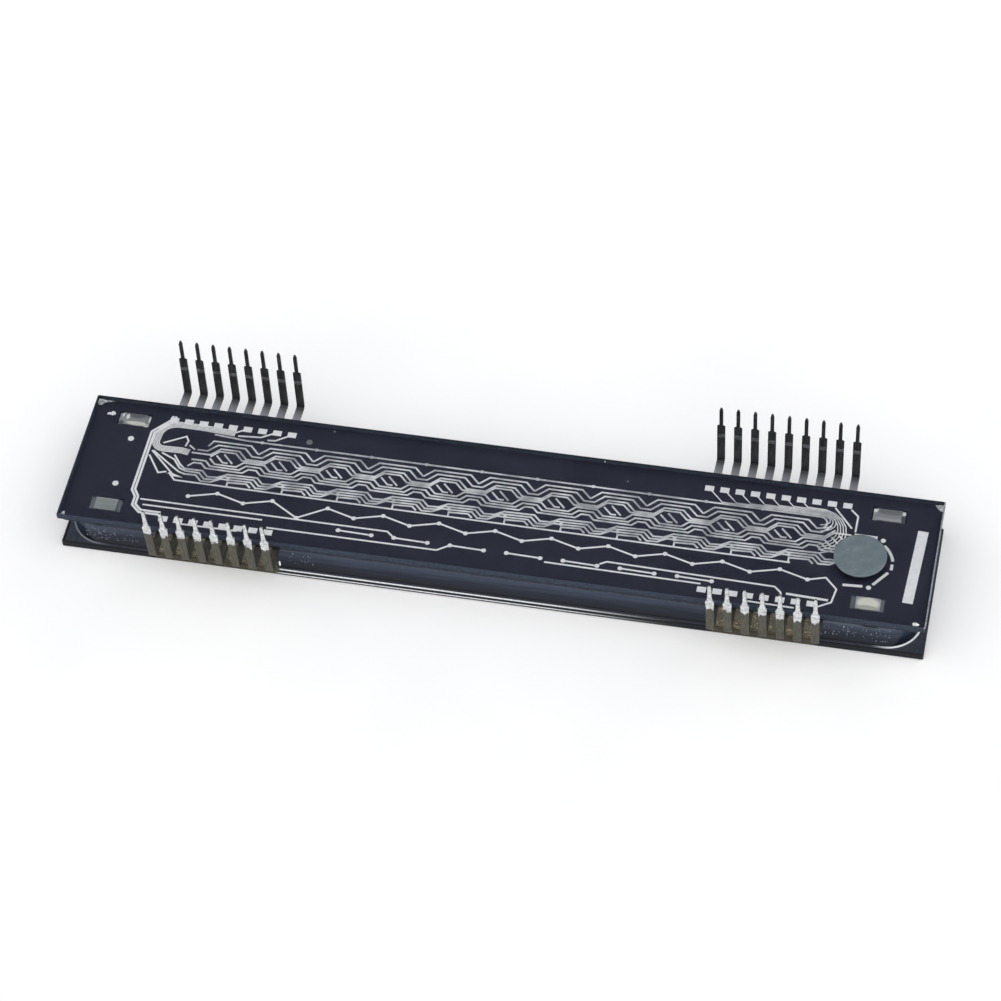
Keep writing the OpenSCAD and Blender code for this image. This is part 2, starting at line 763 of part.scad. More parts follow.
// Two feet with stepped ends against the glass, two posts and a crossbar. Tongues carry the filaments.
module support(name, x, inward, tongue_l) {
    inner_far = foot_y(1) - foot_w / 2;
    inner_near = foot_y(-1) + foot_w / 2;
    color("#b4b6b4") {
        for (side = [-1, 1]) {
            translate([foot_x(name, side), foot_y(side), z_bond - sheet_t / 2])
                cube([foot_l - 2 * foot_step, foot_w, sheet_t], center = true);
            translate([foot_x(name, side), foot_y(side), z_bond - 3 * sheet_t / 2])
                cube([foot_l, foot_w, sheet_t], center = true);
            translate([x - post_w / 2, side > 0 ? inner_far : inner_near - sheet_t, z_bar])
                cube([post_w, sheet_t, z_bond - z_bar]);
        }
        translate([x - post_w / 2, inner_near - sheet_t, z_bar])
            cube([post_w, inner_far - inner_near + 2 * sheet_t, sheet_t]);
        for (k = [0:filament_n - 1])
            translate([inward > 0 ? x : x - post_w / 2 - tongue_l, filament_y(k) - leaf_w / 2, z_bar])
                cube([post_w / 2 + tongue_l, leaf_w, sheet_t]);
    }
}

module anchor_support() {
    support("anchor", anchor_x, 1, tab_l);
}

module spring_support() {
    support("spring", spring_x, -1, leaf_l);
}

module filament(k) {
    from = anchor_x + post_w / 2 + tab_l - weld_l;
    to = spring_x - post_w / 2 - leaf_l + weld_l;
    color("#e9e6dc")
        translate([from, filament_y(k), z_bar - filament_d / 2])
            rotate([0, 90, 0])
                cylinder(h = to - from, d = filament_d);
}

// Getter and exhaust

// A ring of channel section that holds the getter charge, on a stem welded under the anchor's crossbar.
module getter_ring() {
    color("#9b9a94")
        translate([anchor_x, filament_y(0) + filament_s / 2, z_bar - getter_drop]) {
            rotate_extrude()
                translate([(getter_d - getter_w) / 2, 0])
                    difference() {
                        square([getter_w, getter_h]);
                        translate([getter_t, -getter_t])
                            square([getter_w - 2 * getter_t, getter_h]);
                    }
            translate([-getter_stem_w / 2, -(getter_d + getter_stem_t) / 2, getter_h])
                cube([getter_stem_w, getter_stem_t, getter_drop - getter_h]);
        }
}

module exhaust_frit() {
    color("#4c5156")
        translate([exhaust_x, exhaust_y, z_back])
            difference() {
                cylinder(h = plug_frit_t, d = plug_d - 2 * plug_frit_step);
                translate([0, 0, -through])
                    cylinder(h = plug_frit_t + 2 * through, d = exhaust_d);
            }
}

module exhaust_disc() {
    r = plug_d / 2;
    color("#6c787c")
        translate([exhaust_x, exhaust_y, z_back + plug_frit_t])
            rotate_extrude()
                polygon([[0, 0], [r - plug_edge, 0], [r, plug_edge], [r, plug_t - plug_edge],
                    [r - plug_edge, plug_t], [0, plug_t]]);
}

cover_glass();
lower_frit_seal();
spacer_frame();
upper_frit_seal();
substrate_glass();
wiring_film();
black_print();
anode_segments();
anchor_support();
spring_support();
getter_ring();
exhaust_frit();
exhaust_disc();
for (k = [0:filament_n - 1])
    filament(k);
for (i = [0:digits - 1])
    grid(i);
for (i = [0:len(LEADS) - 1])
    lead(i);
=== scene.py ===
import math

import bmesh
import bpy
import numpy as np
from mathutils import Matrix, Vector


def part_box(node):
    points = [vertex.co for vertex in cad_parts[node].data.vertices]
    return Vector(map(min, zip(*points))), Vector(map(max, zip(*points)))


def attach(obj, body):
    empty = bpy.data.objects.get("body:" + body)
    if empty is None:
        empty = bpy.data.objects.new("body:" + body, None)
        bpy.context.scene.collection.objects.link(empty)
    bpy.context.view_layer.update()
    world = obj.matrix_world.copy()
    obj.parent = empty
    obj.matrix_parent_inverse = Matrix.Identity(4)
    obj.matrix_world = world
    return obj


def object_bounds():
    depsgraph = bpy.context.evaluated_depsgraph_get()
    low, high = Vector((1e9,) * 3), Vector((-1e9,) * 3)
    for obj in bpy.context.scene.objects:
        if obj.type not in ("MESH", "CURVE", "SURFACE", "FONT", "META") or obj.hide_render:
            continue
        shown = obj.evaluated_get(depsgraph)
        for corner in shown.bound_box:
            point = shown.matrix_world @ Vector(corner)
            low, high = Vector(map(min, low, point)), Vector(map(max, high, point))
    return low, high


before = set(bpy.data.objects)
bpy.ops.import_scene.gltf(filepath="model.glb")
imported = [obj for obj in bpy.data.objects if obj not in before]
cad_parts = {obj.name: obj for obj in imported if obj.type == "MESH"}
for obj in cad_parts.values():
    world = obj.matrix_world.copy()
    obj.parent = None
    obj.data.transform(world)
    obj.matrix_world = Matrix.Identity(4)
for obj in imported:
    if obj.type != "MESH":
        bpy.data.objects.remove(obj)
cad_low, cad_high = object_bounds()

# Cover glass
# The front plate, which the display lies on. It is float glass with a smoked tint, cut to size with
# its edges ground to a small flat. The ground flats stay matt, and the pale lines on its edges between
# the lead groups are painted highlights.
MM = 0.001


def colour(code):
    """Linear colour of an sRGB hex code."""
    channels = [int(code[i:i + 2], 16) / 255 for i in (1, 3, 5)]
    return tuple(c / 12.92 if c <= 0.04045 else ((c + 0.055) / 1.055) ** 2.4 for c in channels) + (1.0,)


def every(size):
    """The scale of a pattern whose features lie about so many millimetres apart."""
    return 1 / (size * MM)


def feed(tree, node, inputs):
    """Gives a node's inputs their values or links."""
    for name, value in inputs.items():
        if isinstance(value, bpy.types.NodeSocket):
            tree.links.new(value, node.inputs[name])
        else:
            node.inputs[name].default_value = value


def add(tree, kind, inputs=None, stops=None, **settings):
    """A node with its settings, its inputs as values or links, and its ramp stops."""
    made = tree.nodes.new(kind)
    for name, value in settings.items():
        setattr(made, name, value)
    feed(tree, made, inputs or {})
    for i, (place, code) in enumerate(stops or []):
        element = made.color_ramp.elements[i] if i < 2 else made.color_ramp.elements.new(place)
        element.position = place
        element.color = colour(code)
    return made


def finish(name):
    """A new material: its tree, its shader and the object coordinates."""
    made = bpy.data.materials.new(name)
    made.use_nodes = True
    tree = made.node_tree
    shader = tree.nodes["Principled BSDF"]
    return made, tree, shader, tree.nodes.new("ShaderNodeTexCoord")


def dress(material, *names):
    """Gives CAD pieces their finish."""
    for name in names:
        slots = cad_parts[name].data.materials
        slots.clear()
        slots.append(material)


def between(tree, value, start, end, soft):
    """1 where a coordinate lies between two places and 0 outside, with a soft step at each."""
    rise = add(tree, "ShaderNodeMapRange", {0: value, 1: start - soft[0], 2: start},
               interpolation_type="SMOOTHSTEP")
    fall = add(tree, "ShaderNodeMapRange", {0: value, 1: end + soft[1], 2: end},
               interpolation_type="SMOOTHSTEP")
    both = add(tree, "ShaderNodeMath", {0: rise.outputs[0], 1: fall.outputs[0]}, operation="MULTIPLY")
    return both.outputs[0]


LEADS = sorted(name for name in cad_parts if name.startswith("lead_"))
LEAD_BOXES = [[np.array(corner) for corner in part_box(name)] for name in LEADS]
GROUP_GAP = 5 * MM
CLEAN_END = 1.2 * MM
STAIN_CREEP, STAIN_FADE = 0.7 * MM, 0.6 * MM


def lead_groups():
    """The stained stretch of each group of leads, as [side, lowest x, highest x]."""
    groups = []
    for side in (-1, 1):
        row = sorted((low[0], high[0]) for low, high in LEAD_BOXES if side * (low[1] + high[1]) > 0)
        for start, end in row:
            if groups and groups[-1][0] == side and start - groups[-1][2] < GROUP_GAP:
                groups[-1][2] = end
            else:
                groups.append([side, start, end])
    return [[side, start, end - CLEAN_END] for side, start, end in groups]


def beside_leads(tree, coords, place):
    """1 on the stretches of a seal that grip leads and 0 between them, with uneven ends."""
    flow = add(tree, "ShaderNodeTexNoise",
               {0: coords.outputs["Object"], "Scale": every(1.333), "Detail": 3})
    creep = add(tree, "ShaderNodeMapRange",
                {0: flow.outputs[0], 1: 0.3, 2: 0.7, 3: -STAIN_CREEP, 4: STAIN_CREEP})
    run = add(tree, "ShaderNodeMath", {0: place.outputs[0], 1: creep.outputs[0]}, operation="ADD")
    total = 0.0
    for side, start, end in lead_groups():
        along = between(tree, run.outputs[0], start, end, (STAIN_FADE, STAIN_FADE))
        here = add(tree, "ShaderNodeMapRange", {0: place.outputs[1], 1: 0.0, 2: side * MM})
        part = add(tree, "ShaderNodeMath", {0: along, 1: here.outputs[0]}, operation="MULTIPLY")
        total = add(tree, "ShaderNodeMath", {0: total, 1: part.outputs[0]}, operation="ADD").outputs[0]
    return total


LOWER_HIGHLIGHT_H, LOWER_HIGHLIGHT_FADE, CREST_FADE = 0.2 * MM, 0.03 * MM, 0.02 * MM
LEDGE, LEDGE_FADE = 11.5 * MM, 0.1 * MM


def plate_finish(name, index, tint, haze, edge, arris_highlight, highlight_span, foot=0.0, crest=0.0, stain=None):
    """Plate glass, faintly hazed by handling, with matt cut edges and painted highlights on them.

    The painted highlights lie over the highlight span, on the slopes above the crest and on a band of
    the upright edge whose top is the foot.
    """
    made, tree, shader, coords = finish(name)
    place = add(tree, "ShaderNodeSeparateXYZ", {0: coords.outputs["Object"]})
    slant = add(tree, "ShaderNodeSeparateXYZ", {0: coords.outputs["Normal"]})
    upright = add(tree, "ShaderNodeMath", {0: slant.outputs[2]}, operation="ABSOLUTE")
    cut = add(tree, "ShaderNodeMapRange", {0: upright.outputs[0], 1: 0.95, 2: 0.85}).outputs[0]
    # Painted highlights: the slopes above the crest and a band of the upright edge below the foot are pale
    # over the highlight span.
    slope = add(tree, "ShaderNodeMapRange", {0: upright.outputs[0], 1: 0.3, 2: 0.5})
    high = add(tree, "ShaderNodeMapRange", {0: place.outputs[2], 1: crest - CREST_FADE, 2: crest})
    upper_highlight = add(tree, "ShaderNodeMath", {0: slope.outputs[0], 1: high.outputs[0]}, operation="MULTIPLY")
    line = between(tree, place.outputs[2], foot - LOWER_HIGHLIGHT_H, foot, (LOWER_HIGHLIGHT_FADE, LOWER_HIGHLIGHT_FADE))
    flats = add(tree, "ShaderNodeMath", {0: upper_highlight.outputs[0], 1: line}, operation="MAXIMUM")
    shown = between(tree, place.outputs[0], *highlight_span)
    pale = add(tree, "ShaderNodeMath", {0: flats.outputs[0], 1: shown}, operation="MULTIPLY")
    film = add(tree, "ShaderNodeTexNoise",
               {0: coords.outputs["Object"], "Scale": every(4.17), "Detail": 5, "Roughness": 0.6})
    tone = add(tree, "ShaderNodeValToRGB", {0: film.outputs[0]}, stops=[(0.3, tint), (0.75, haze)])
    # The marks of grinding are finer than this, and are drawn as coarse as they need to show.
    grit = add(tree, "ShaderNodeTexNoise",
               {0: coords.outputs["Object"], "Scale": every(0.1923), "Detail": 2})
    highlight_tone = add(tree, "ShaderNodeValToRGB", {0: grit.outputs[0]}, stops=[(0.3, arris_highlight[0]), (0.7, arris_highlight[1])])
    flank = add(tree, "ShaderNodeValToRGB", {0: grit.outputs[0]}, stops=[(0.3, edge[0]), (0.7, edge[1])])
    sides = add(tree, "ShaderNodeMix", {0: pale.outputs[0], 6: flank.outputs[0], 7: highlight_tone.outputs[0]},
                data_type="RGBA")
    mixed = add(tree, "ShaderNodeMix", {0: cut, 6: tone.outputs[0], 7: sides.outputs[2]}, data_type="RGBA")
    if stain:
        out = add(tree, "ShaderNodeMath", {0: place.outputs[1]}, operation="ABSOLUTE")
        ledge = add(tree, "ShaderNodeMapRange", {0: out.outputs[0], 1: LEDGE, 2: LEDGE + LEDGE_FADE})
        smeared = add(tree, "ShaderNodeMath", {0: beside_leads(tree, coords, place), 1: ledge.outputs[0]},
                      operation="MULTIPLY")
        paste = add(tree, "ShaderNodeValToRGB", {0: grit.outputs[0]}, stops=stain)
        mixed = add(tree, "ShaderNodeMix", {0: smeared.outputs[0], 6: mixed.outputs[2], 7: paste.outputs[0]},
                    data_type="RGBA")
        cut = add(tree, "ShaderNodeMath", {0: smeared.outputs[0], 1: cut}, operation="MAXIMUM").outputs[0]
    smear = add(tree, "ShaderNodeMapRange", {0: film.outputs[0], 1: 0.4, 2: 0.8, 3: 0.02, 4: 0.08})
    rough = add(tree, "ShaderNodeMix", {0: cut, 2: smear.outputs[0], 3: 0.35})
    clear = add(tree, "ShaderNodeMapRange", {0: cut, 3: 1.0, 4: 0.0})
    bump = add(tree, "ShaderNodeBump", {"Height": grit.outputs[0], "Distance": 0.03 * MM, "Strength": cut})
    feed(tree, shader, {"Base Color": mixed.outputs[2], "Roughness": rough.outputs[0],
                        "Transmission Weight": clear.outputs[0], "Normal": bump.outputs[0],
                        "Specular IOR Level": 0.15, "IOR": index})
    return made


# The cover's painted highlights run from the near left lead group to the middle and fade out further right.
dress(plate_finish("smoked float glass, cut and edge ground", 1.52, "#3a404e", "#464c5a",
                   edge=("#090b10", "#181b23"), arris_highlight=("#c4c9ce", "#f8f9fa"),
                   highlight_span=(-32.8 * MM, 6 * MM, (0.4 * MM, 24 * MM)),
                   foot=0.66 * MM, crest=1.17 * MM, stain=[(0.3, "#2b2922"), (0.7, "#545041")]),
      "cover_glass")

# Lower frit seal
# The bead that joins the wall to the cover. It is powdered lead glass, laid on as a paste and fired. It is
# dark, with painted highlights round the corners, bright at the right end and dim at the left.


def frit_finish(name, dark, pale, bubble):
    """Fired frit, a little glossy and full of fine bubbles."""
    made, tree, shader, coords = finish(name)
    melt = add(tree, "ShaderNodeTexNoise",
               {0: coords.outputs["Object"], "Scale": every(2.381), "Detail": 6, "Roughness": 0.65})
    tone = add(tree, "ShaderNodeValToRGB", {0: melt.outputs[0]}, stops=[(0.35, dark), (0.7, pale)])
    pores = add(tree, "ShaderNodeTexVoronoi", {0: coords.outputs["Object"], "Scale": every(0.2941)})
    open_pore = add(tree, "ShaderNodeMapRange", {0: pores.outputs[0], 1: 0.12, 2: 0.26, 3: 1.0, 4: 0.0})
    mixed = add(tree, "ShaderNodeMix", {0: open_pore.outputs[0], 6: tone.outputs[0], 7: colour(bubble)},
                data_type="RGBA")
    rough = add(tree, "ShaderNodeMapRange", {0: melt.outputs[0], 1: 0.3, 2: 0.7, 3: 0.22, 4: 0.48})
    height = add(tree, "ShaderNodeMath", {0: melt.outputs[0], 1: open_pore.outputs[0]}, operation="SUBTRACT")
    bump = add(tree, "ShaderNodeBump", {"Height": height.outputs[0], "Distance": 0.04 * MM, "Strength": 0.6})
    feed(tree, shader, {"Base Color": mixed.outputs[2], "Roughness": rough.outputs[0],
                        "Normal": bump.outputs[0], "Specular IOR Level": 0.3})
    return made, tree, shader, coords, mixed.outputs[2]


OLIVE = [(0.3, "#35322a"), (0.55, "#5b5748"), (0.75, "#948b6b")]


def stained(tree, shader, coords, place, plain):
    """Mixes the olive stain of the fired frit into a finish beside the leads."""
    rust = add(tree, "ShaderNodeTexNoise",
               {0: coords.outputs["Object"], "Scale": every(0.6667), "Detail": 4, "Roughness": 0.7})
    stain = add(tree, "ShaderNodeValToRGB", {0: rust.outputs[0]}, stops=OLIVE)
    both = add(tree, "ShaderNodeMix", {0: beside_leads(tree, coords, place), 6: plain, 7: stain.outputs[0]},
               data_type="RGBA")
    feed(tree, shader, {"Base Color": both.outputs[2]})


CORNER_HIGHLIGHT_START, CORNER_HIGHLIGHT_END = 57 * MM, 61 * MM
foot_frit, tree, shader, coords, plain = frit_finish(
    "sealing frit, fired thin", "#12161e", "#242b37", "#3a424f")
place = add(tree, "ShaderNodeSeparateXYZ", {0: coords.outputs["Object"]})
# Painted highlights round the two corners of the bead, bright at the right end and dim at the left.
for end, code in ((-1, "#6d747c"), (1, "#e3e7ea")):
    corner = add(tree, "ShaderNodeMapRange",
                 {0: place.outputs[0], 1: end * CORNER_HIGHLIGHT_START, 2: end * CORNER_HIGHLIGHT_END},
                 interpolation_type="SMOOTHSTEP")
    plain = add(tree, "ShaderNodeMix", {0: corner.outputs[0], 6: plain, 7: colour(code)},
                data_type="RGBA").outputs[2]
stained(tree, shader, coords, place, plain)
dress(foot_frit, "lower_frit_seal")

# Spacer wall
# A frame of drawn glass strip with rounded corners that holds the two plates apart. The dark inside of the
# tube shows through it, so it is a deep blue-grey, painted lighter towards the top as shading, and stained
# olive behind the leads by the fired frit.


def spot(tree, coords, centre, size):
    """1 inside a soft ellipsoid round a place in millimetres, and 0 outside it."""
    away = add(tree, "ShaderNodeVectorMath",
               {0: coords.outputs["Object"], 1: [c * MM for c in centre]}, operation="SUBTRACT")
    scaled = add(tree, "ShaderNodeVectorMath",
                 {0: away.outputs[0], 1: [1 / (s * MM) for s in size]}, operation="MULTIPLY")
    reach = add(tree, "ShaderNodeVectorMath", {0: scaled.outputs[0]}, operation="LENGTH")
    return add(tree, "ShaderNodeMapRange", {0: reach.outputs["Value"], 1: 1.1, 2: 0.75}).outputs[0]


def touched(tree, coords, plain, spots):
    """Lays spots of another tone, each (centre, size, hex code), over a finish."""
    for centre, size, code in spots:
        inside = spot(tree, coords, centre, size)
        over = add(tree, "ShaderNodeMix", {0: inside, 6: plain, 7: colour(code)}, data_type="RGBA")
        plain = over.outputs[2]
    return plain


WALL_LOW, WALL_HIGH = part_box("spacer_frame")
# A painted highlight: a small white glint on the wall beside the near left lead group.
WALL_GLINT = ((-31.15, -11.6, 2.3), (0.16, 1, 0.6), "#f4f6f7")
wall, tree, shader, coords = finish("drawn glass strip, dark")
streak = add(tree, "ShaderNodeMapping",
             {0: coords.outputs["Object"], "Scale": (every(11.11), every(11.11), every(0.7143))})
drawn = add(tree, "ShaderNodeTexNoise", {0: streak.outputs[0], "Scale": 1, "Detail": 4, "Roughness": 0.6})
place = add(tree, "ShaderNodeSeparateXYZ", {0: coords.outputs["Object"]})
# Painted shading: the colour runs from dark at the bottom of the wall to lighter at its top.
height = add(tree, "ShaderNodeMapRange", {0: place.outputs[2], 1: WALL_LOW[2], 2: WALL_HIGH[2]})
wander = add(tree, "ShaderNodeMapRange", {0: drawn.outputs[0], 1: 0.3, 2: 0.7, 3: -0.18, 4: 0.18})
shade_level = add(tree, "ShaderNodeMath", {0: height.outputs[0], 1: wander.outputs[0]}, operation="ADD")
tone = add(tree, "ShaderNodeValToRGB", {0: shade_level.outputs[0]},
           stops=[(0.0, "#0b0e17"), (0.5, "#1a2130"), (1.0, "#394254")])
rough = add(tree, "ShaderNodeMapRange", {0: drawn.outputs[0], 1: 0.3, 2: 0.7, 3: 0.1, 4: 0.25})
bump = add(tree, "ShaderNodeBump", {"Height": drawn.outputs[0], "Distance": 0.02 * MM, "Strength": 0.4})
stained(tree, shader, coords, place, touched(tree, coords, tone.outputs[0], [WALL_GLINT]))
feed(tree, shader, {"Roughness": rough.outputs[0], "Normal": bump.outputs[0], "Specular IOR Level": 0.17})
dress(wall, "spacer_frame")

# Upper frit seal
# The bead that grips the leads between the wall and the substrate. It is fired frit like the lower one,
# stained olive round the leads, with crumbs of paste left between them and bubbles burst near its ends.
# Painted shade: dark spots on the bead under the substrate's edge, near both ends.
SHADE_SPOT_Y, SHADE_SPOT_Z, SHADE_SPOT_TONE = -11.7, 6.1, "#0b0a0e"
SHADE_SPOTS = [((x, SHADE_SPOT_Y, SHADE_SPOT_Z), (wide, 1, high), SHADE_SPOT_TONE)
         for x, wide, high in ((-61, 0.9, 0.28), (-58.6, 0.7, 0.25), (57, 1.3, 0.3))]
THIN_START, THIN_END, THIN_SHARE = 36 * MM, 52 * MM, 0.6
seal, tree, shader, coords, plain = frit_finish(
    "sealing frit, fired round the leads", "#1b202b", "#323a49", "#4a515c")
place = add(tree, "ShaderNodeSeparateXYZ", {0: coords.outputs["Object"]})
thin = add(tree, "ShaderNodeMapRange", {0: place.outputs[0], 1: THIN_START, 2: THIN_END, 4: THIN_SHARE})
paler = add(tree, "ShaderNodeMix", {0: thin.outputs[0], 6: plain, 7: colour("#555d6b")}, data_type="RGBA")
stained(tree, shader, coords, place, touched(tree, coords, paler.outputs[2], SHADE_SPOTS))
dress(seal, "upper_frit_seal")


def placed(name, mesh):
    """A new object in the scene, at the origin."""
    piece = bpy.data.objects.new(name, mesh)
    bpy.context.scene.collection.objects.link(piece)
    return piece


def new_tree(name, kinds):
    """A tree that grows geometry from named inputs: itself, its input sockets and what they give."""
    tree = bpy.data.node_groups.new(name, "GeometryNodeTree")
    tree.interface.new_socket("Geometry", in_out="INPUT", socket_type="NodeSocketGeometry")
    sockets = [tree.interface.new_socket(label, in_out="INPUT", socket_type="NodeSocket" + kind)
               for label, kind in kinds.items()]
    tree.interface.new_socket("Geometry", in_out="OUTPUT", socket_type="NodeSocketGeometry")
    return tree, sockets, add(tree, "NodeGroupInput").outputs


def settle(piece, tree, sockets, values):
    """Runs a tree on a piece with its inputs, keeps the plain mesh and rides it on the display."""
    build = piece.modifiers.new(tree.name, "NODES")
    build.node_group = tree
    for socket, value in zip(sockets, values):
        build[socket.identifier] = value
    bpy.context.view_layer.update()
    made = bpy.data.meshes.new_from_object(piece.evaluated_get(bpy.context.evaluated_depsgraph_get()))
    piece.modifiers.remove(build)
    piece.data = made
    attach(piece, "root")


GRAIN_LEAST, GRAIN_MOST = (0.35, 0.35, 0.2), (1.3, 0.9, 0.5)
ON_BOX = 1e-7


def scatter(name, surface, low, high, density, grain, seed, material):
    """Grains stuck on one piece inside a box, all in millimetres, as a mesh that rides with it."""
    tree, sockets, given = new_tree(name, {
        "Surface": "Object", "Low corner": "Vector", "High corner": "Vector",
        "Grains per square metre": "Float", "Grain size": "Float", "Seed": "Int", "Finish": "Material"})
    form = add(tree, "GeometryNodeObjectInfo", {"Object": given["Surface"]})
    grains = add(tree, "GeometryNodeDistributePointsOnFaces",
                 {"Mesh": form.outputs["Geometry"], "Density": given["Grains per square metre"],
                  "Seed": given["Seed"]})
    here = add(tree, "GeometryNodeInputPosition")
    above = add(tree, "ShaderNodeVectorMath", {0: here.outputs[0], 1: given["Low corner"]},
                operation="MAXIMUM")
    inside = add(tree, "ShaderNodeVectorMath", {0: above.outputs[0], 1: given["High corner"]},
                 operation="MINIMUM")
    off = add(tree, "ShaderNodeVectorMath", {0: inside.outputs[0], 1: here.outputs[0]}, operation="DISTANCE")
    kept = add(tree, "FunctionNodeCompare", {0: off.outputs["Value"], 1: ON_BOX}, operation="LESS_THAN")
    chosen = add(tree, "GeometryNodeSeparateGeometry",
                 {"Geometry": grains.outputs["Points"], "Selection": kept.outputs[0]})
    ball = add(tree, "GeometryNodeMeshIcoSphere", {"Radius": given["Grain size"], "Subdivisions": 2})
    spread = add(tree, "FunctionNodeRandomValue",
                 {0: GRAIN_LEAST, 1: GRAIN_MOST, "Seed": given["Seed"]}, data_type="FLOAT_VECTOR")
    copies = add(tree, "GeometryNodeInstanceOnPoints",
                 {"Points": chosen.outputs[0], "Instance": ball.outputs["Mesh"],
                  "Rotation": grains.outputs["Rotation"], "Scale": spread.outputs[0]})
    joined = add(tree, "GeometryNodeRealizeInstances", {0: copies.outputs[0]})
    smooth = add(tree, "GeometryNodeSetShadeSmooth", {0: joined.outputs[0]})
    coated = add(tree, "GeometryNodeSetMaterial", {0: smooth.outputs[0], "Material": given["Finish"]})
    add(tree, "NodeGroupOutput", {0: coated.outputs[0]})
    values = (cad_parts[surface], [c * MM for c in low], [c * MM for c in high], density / MM ** 2,
              grain * MM, seed, material)
    settle(placed(name, bpy.data.meshes.new(name)), tree, sockets, values)


def grain_finish(name, dark, pale):
    """Hard grains of fired paste, uneven in tone and a little glossy."""
    made, tree, shader, coords = finish(name)
    cloud = add(tree, "ShaderNodeTexNoise", {0: coords.outputs["Object"], "Scale": every(0.4), "Detail": 3})
    tone = add(tree, "ShaderNodeValToRGB", {0: cloud.outputs[0]}, stops=[(0.35, dark), (0.65, pale)])
    rough = add(tree, "ShaderNodeMapRange", {0: cloud.outputs[0], 3: 0.25, 4: 0.5})
    feed(tree, shader, {"Base Color": tone.outputs[0], "Roughness": rough.outputs[0]})
    return made


CRUMB_IN, CRUMB_OUT = 11.2, 13
SEAL_CRUMBS = {"low": 5.4, "high": 6.2, "density": 2.2, "grain": 0.16, "seed": 11}
WALL_CRUMBS = {"low": 1.8, "high": 5.4, "density": 0.9, "grain": 0.14, "seed": 31}
crumb = grain_finish("frit crumbs, fired yellow", "#7d7249", "#cdbf86")
for k, (side, start, end) in enumerate(lead_groups()):
    front, back = sorted((side * CRUMB_IN, side * CRUMB_OUT))
    for label, surface, lot in (("frit_crumbs", "upper_frit_seal", SEAL_CRUMBS),
                                ("wall_crumbs", "spacer_frame", WALL_CRUMBS)):
        scatter(f"{label}_{k + 1}", surface, (start / MM, front, lot["low"]), (end / MM, back, lot["high"]),
                lot["density"], lot["grain"], lot["seed"] + k, crumb)

BUBBLE_LOW, BUBBLE_HIGH, BUBBLE_GRAIN, BUBBLE_SEED = (-13, 2.6), (-11, 5.4), 0.075, 51
bubble = grain_finish("frit bubbles, burst and pale", "#474d56", "#d5dadf")
for k, (start, end, density) in enumerate([(-61, -53, 3.2), (-30.6, -26, 2.0), (47, 60, 2.6)]):
    scatter(f"frit_bubbles_{k + 1}", "spacer_frame", (start, *BUBBLE_LOW), (end, *BUBBLE_HIGH),
            density, BUBBLE_GRAIN, BUBBLE_SEED + k, bubble)

# Black print
# The insulating layer under the wiring. It is black glass paste, screen printed over the whole plate and
# fired, an even blue-black with pinholes, and has windows open for the pads and the feet of the supports.
paste, tree, shader, coords = finish("black glass paste, screen printed and fired")
mottle = add(tree, "ShaderNodeTexNoise",
             {0: coords.outputs["Object"], "Scale": every(7.692), "Detail": 5, "Roughness": 0.6})
tone = add(tree, "ShaderNodeValToRGB", {0: mottle.outputs[0]}, stops=[(0.3, "#232535"), (0.75, "#2b2d3d")])
pin = add(tree, "ShaderNodeTexVoronoi", {0: coords.outputs["Object"], "Scale": every(3.846)})
hole = add(tree, "ShaderNodeMapRange", {0: pin.outputs[0], 1: 0.02, 2: 0.035, 3: 1.0, 4: 0.0})
mixed = add(tree, "ShaderNodeMix", {0: hole.outputs[0], 6: tone.outputs[0], 7: colour("#343947")},
            data_type="RGBA")
rough = add(tree, "ShaderNodeMapRange", {0: mottle.outputs[0], 3: 0.3, 4: 0.5})
feed(tree, shader, {"Base Color": mixed.outputs[2], "Roughness": rough.outputs[0]})
dress(paste, "black_print")

# Wiring film
# The traces, dots and pads on the inside of the substrate. They are a thin film of aluminium, evaporated on
# the glass and etched, so they are bright and almost white through it, and duller in the lattice.
LATTICE_X, LATTICE_Y = (-48 * MM, 49 * MM, (2 * MM, 2 * MM)), (-1.5 * MM, 7.5 * MM, (MM, MM))
DULL_DOT = ((-31, 8.4, 6.48), (0.9, 0.9, 0.3), "#7c7f84")
wiring, tree, shader, coords = finish("aluminium film, evaporated and etched")
# The film's grain is finer than this, and is drawn as coarse as it needs to show.
grain = add(tree, "ShaderNodeTexNoise",
            {0: coords.outputs["Object"], "Scale": every(1.111), "Detail": 4, "Roughness": 0.65})
tone = add(tree, "ShaderNodeValToRGB", {0: grain.outputs[0]}, stops=[(0.3, "#eef0f3"), (0.7, "#ffffff")])
rough = add(tree, "ShaderNodeMapRange", {0: grain.outputs[0], 3: 0.45, 4: 0.65})
place = add(tree, "ShaderNodeSeparateXYZ", {0: coords.outputs["Object"]})
along = between(tree, place.outputs[0], *LATTICE_X)
over = between(tree, place.outputs[1], *LATTICE_Y)
traces = add(tree, "ShaderNodeMath", {0: along, 1: over}, operation="MULTIPLY")
cloud = add(tree, "ShaderNodeTexNoise", {0: coords.outputs["Object"], "Scale": every(2.632), "Detail": 3})
thin = add(tree, "ShaderNodeValToRGB", {0: cloud.outputs[0]}, stops=[(0.35, "#b0b2b6"), (0.65, "#f2f4f6")])
uneven = add(tree, "ShaderNodeMix", {0: traces.outputs[0], 6: tone.outputs[0], 7: thin.outputs[0]},
             data_type="RGBA")
dulled = touched(tree, coords, uneven.outputs[2], [DULL_DOT])
feed(tree, shader, {"Base Color": dulled, "Roughness": rough.outputs[0], "Metallic": 0.05})
dress(wiring, "wiring_film")

# Anode segments
# The segments of the digits, which light up. They are carbon pads coated with pale green phosphor
# powder, printed on the black layer and facing the front, and quite matt.
phosphor, tree, shader, coords = finish("phosphor powder, printed")
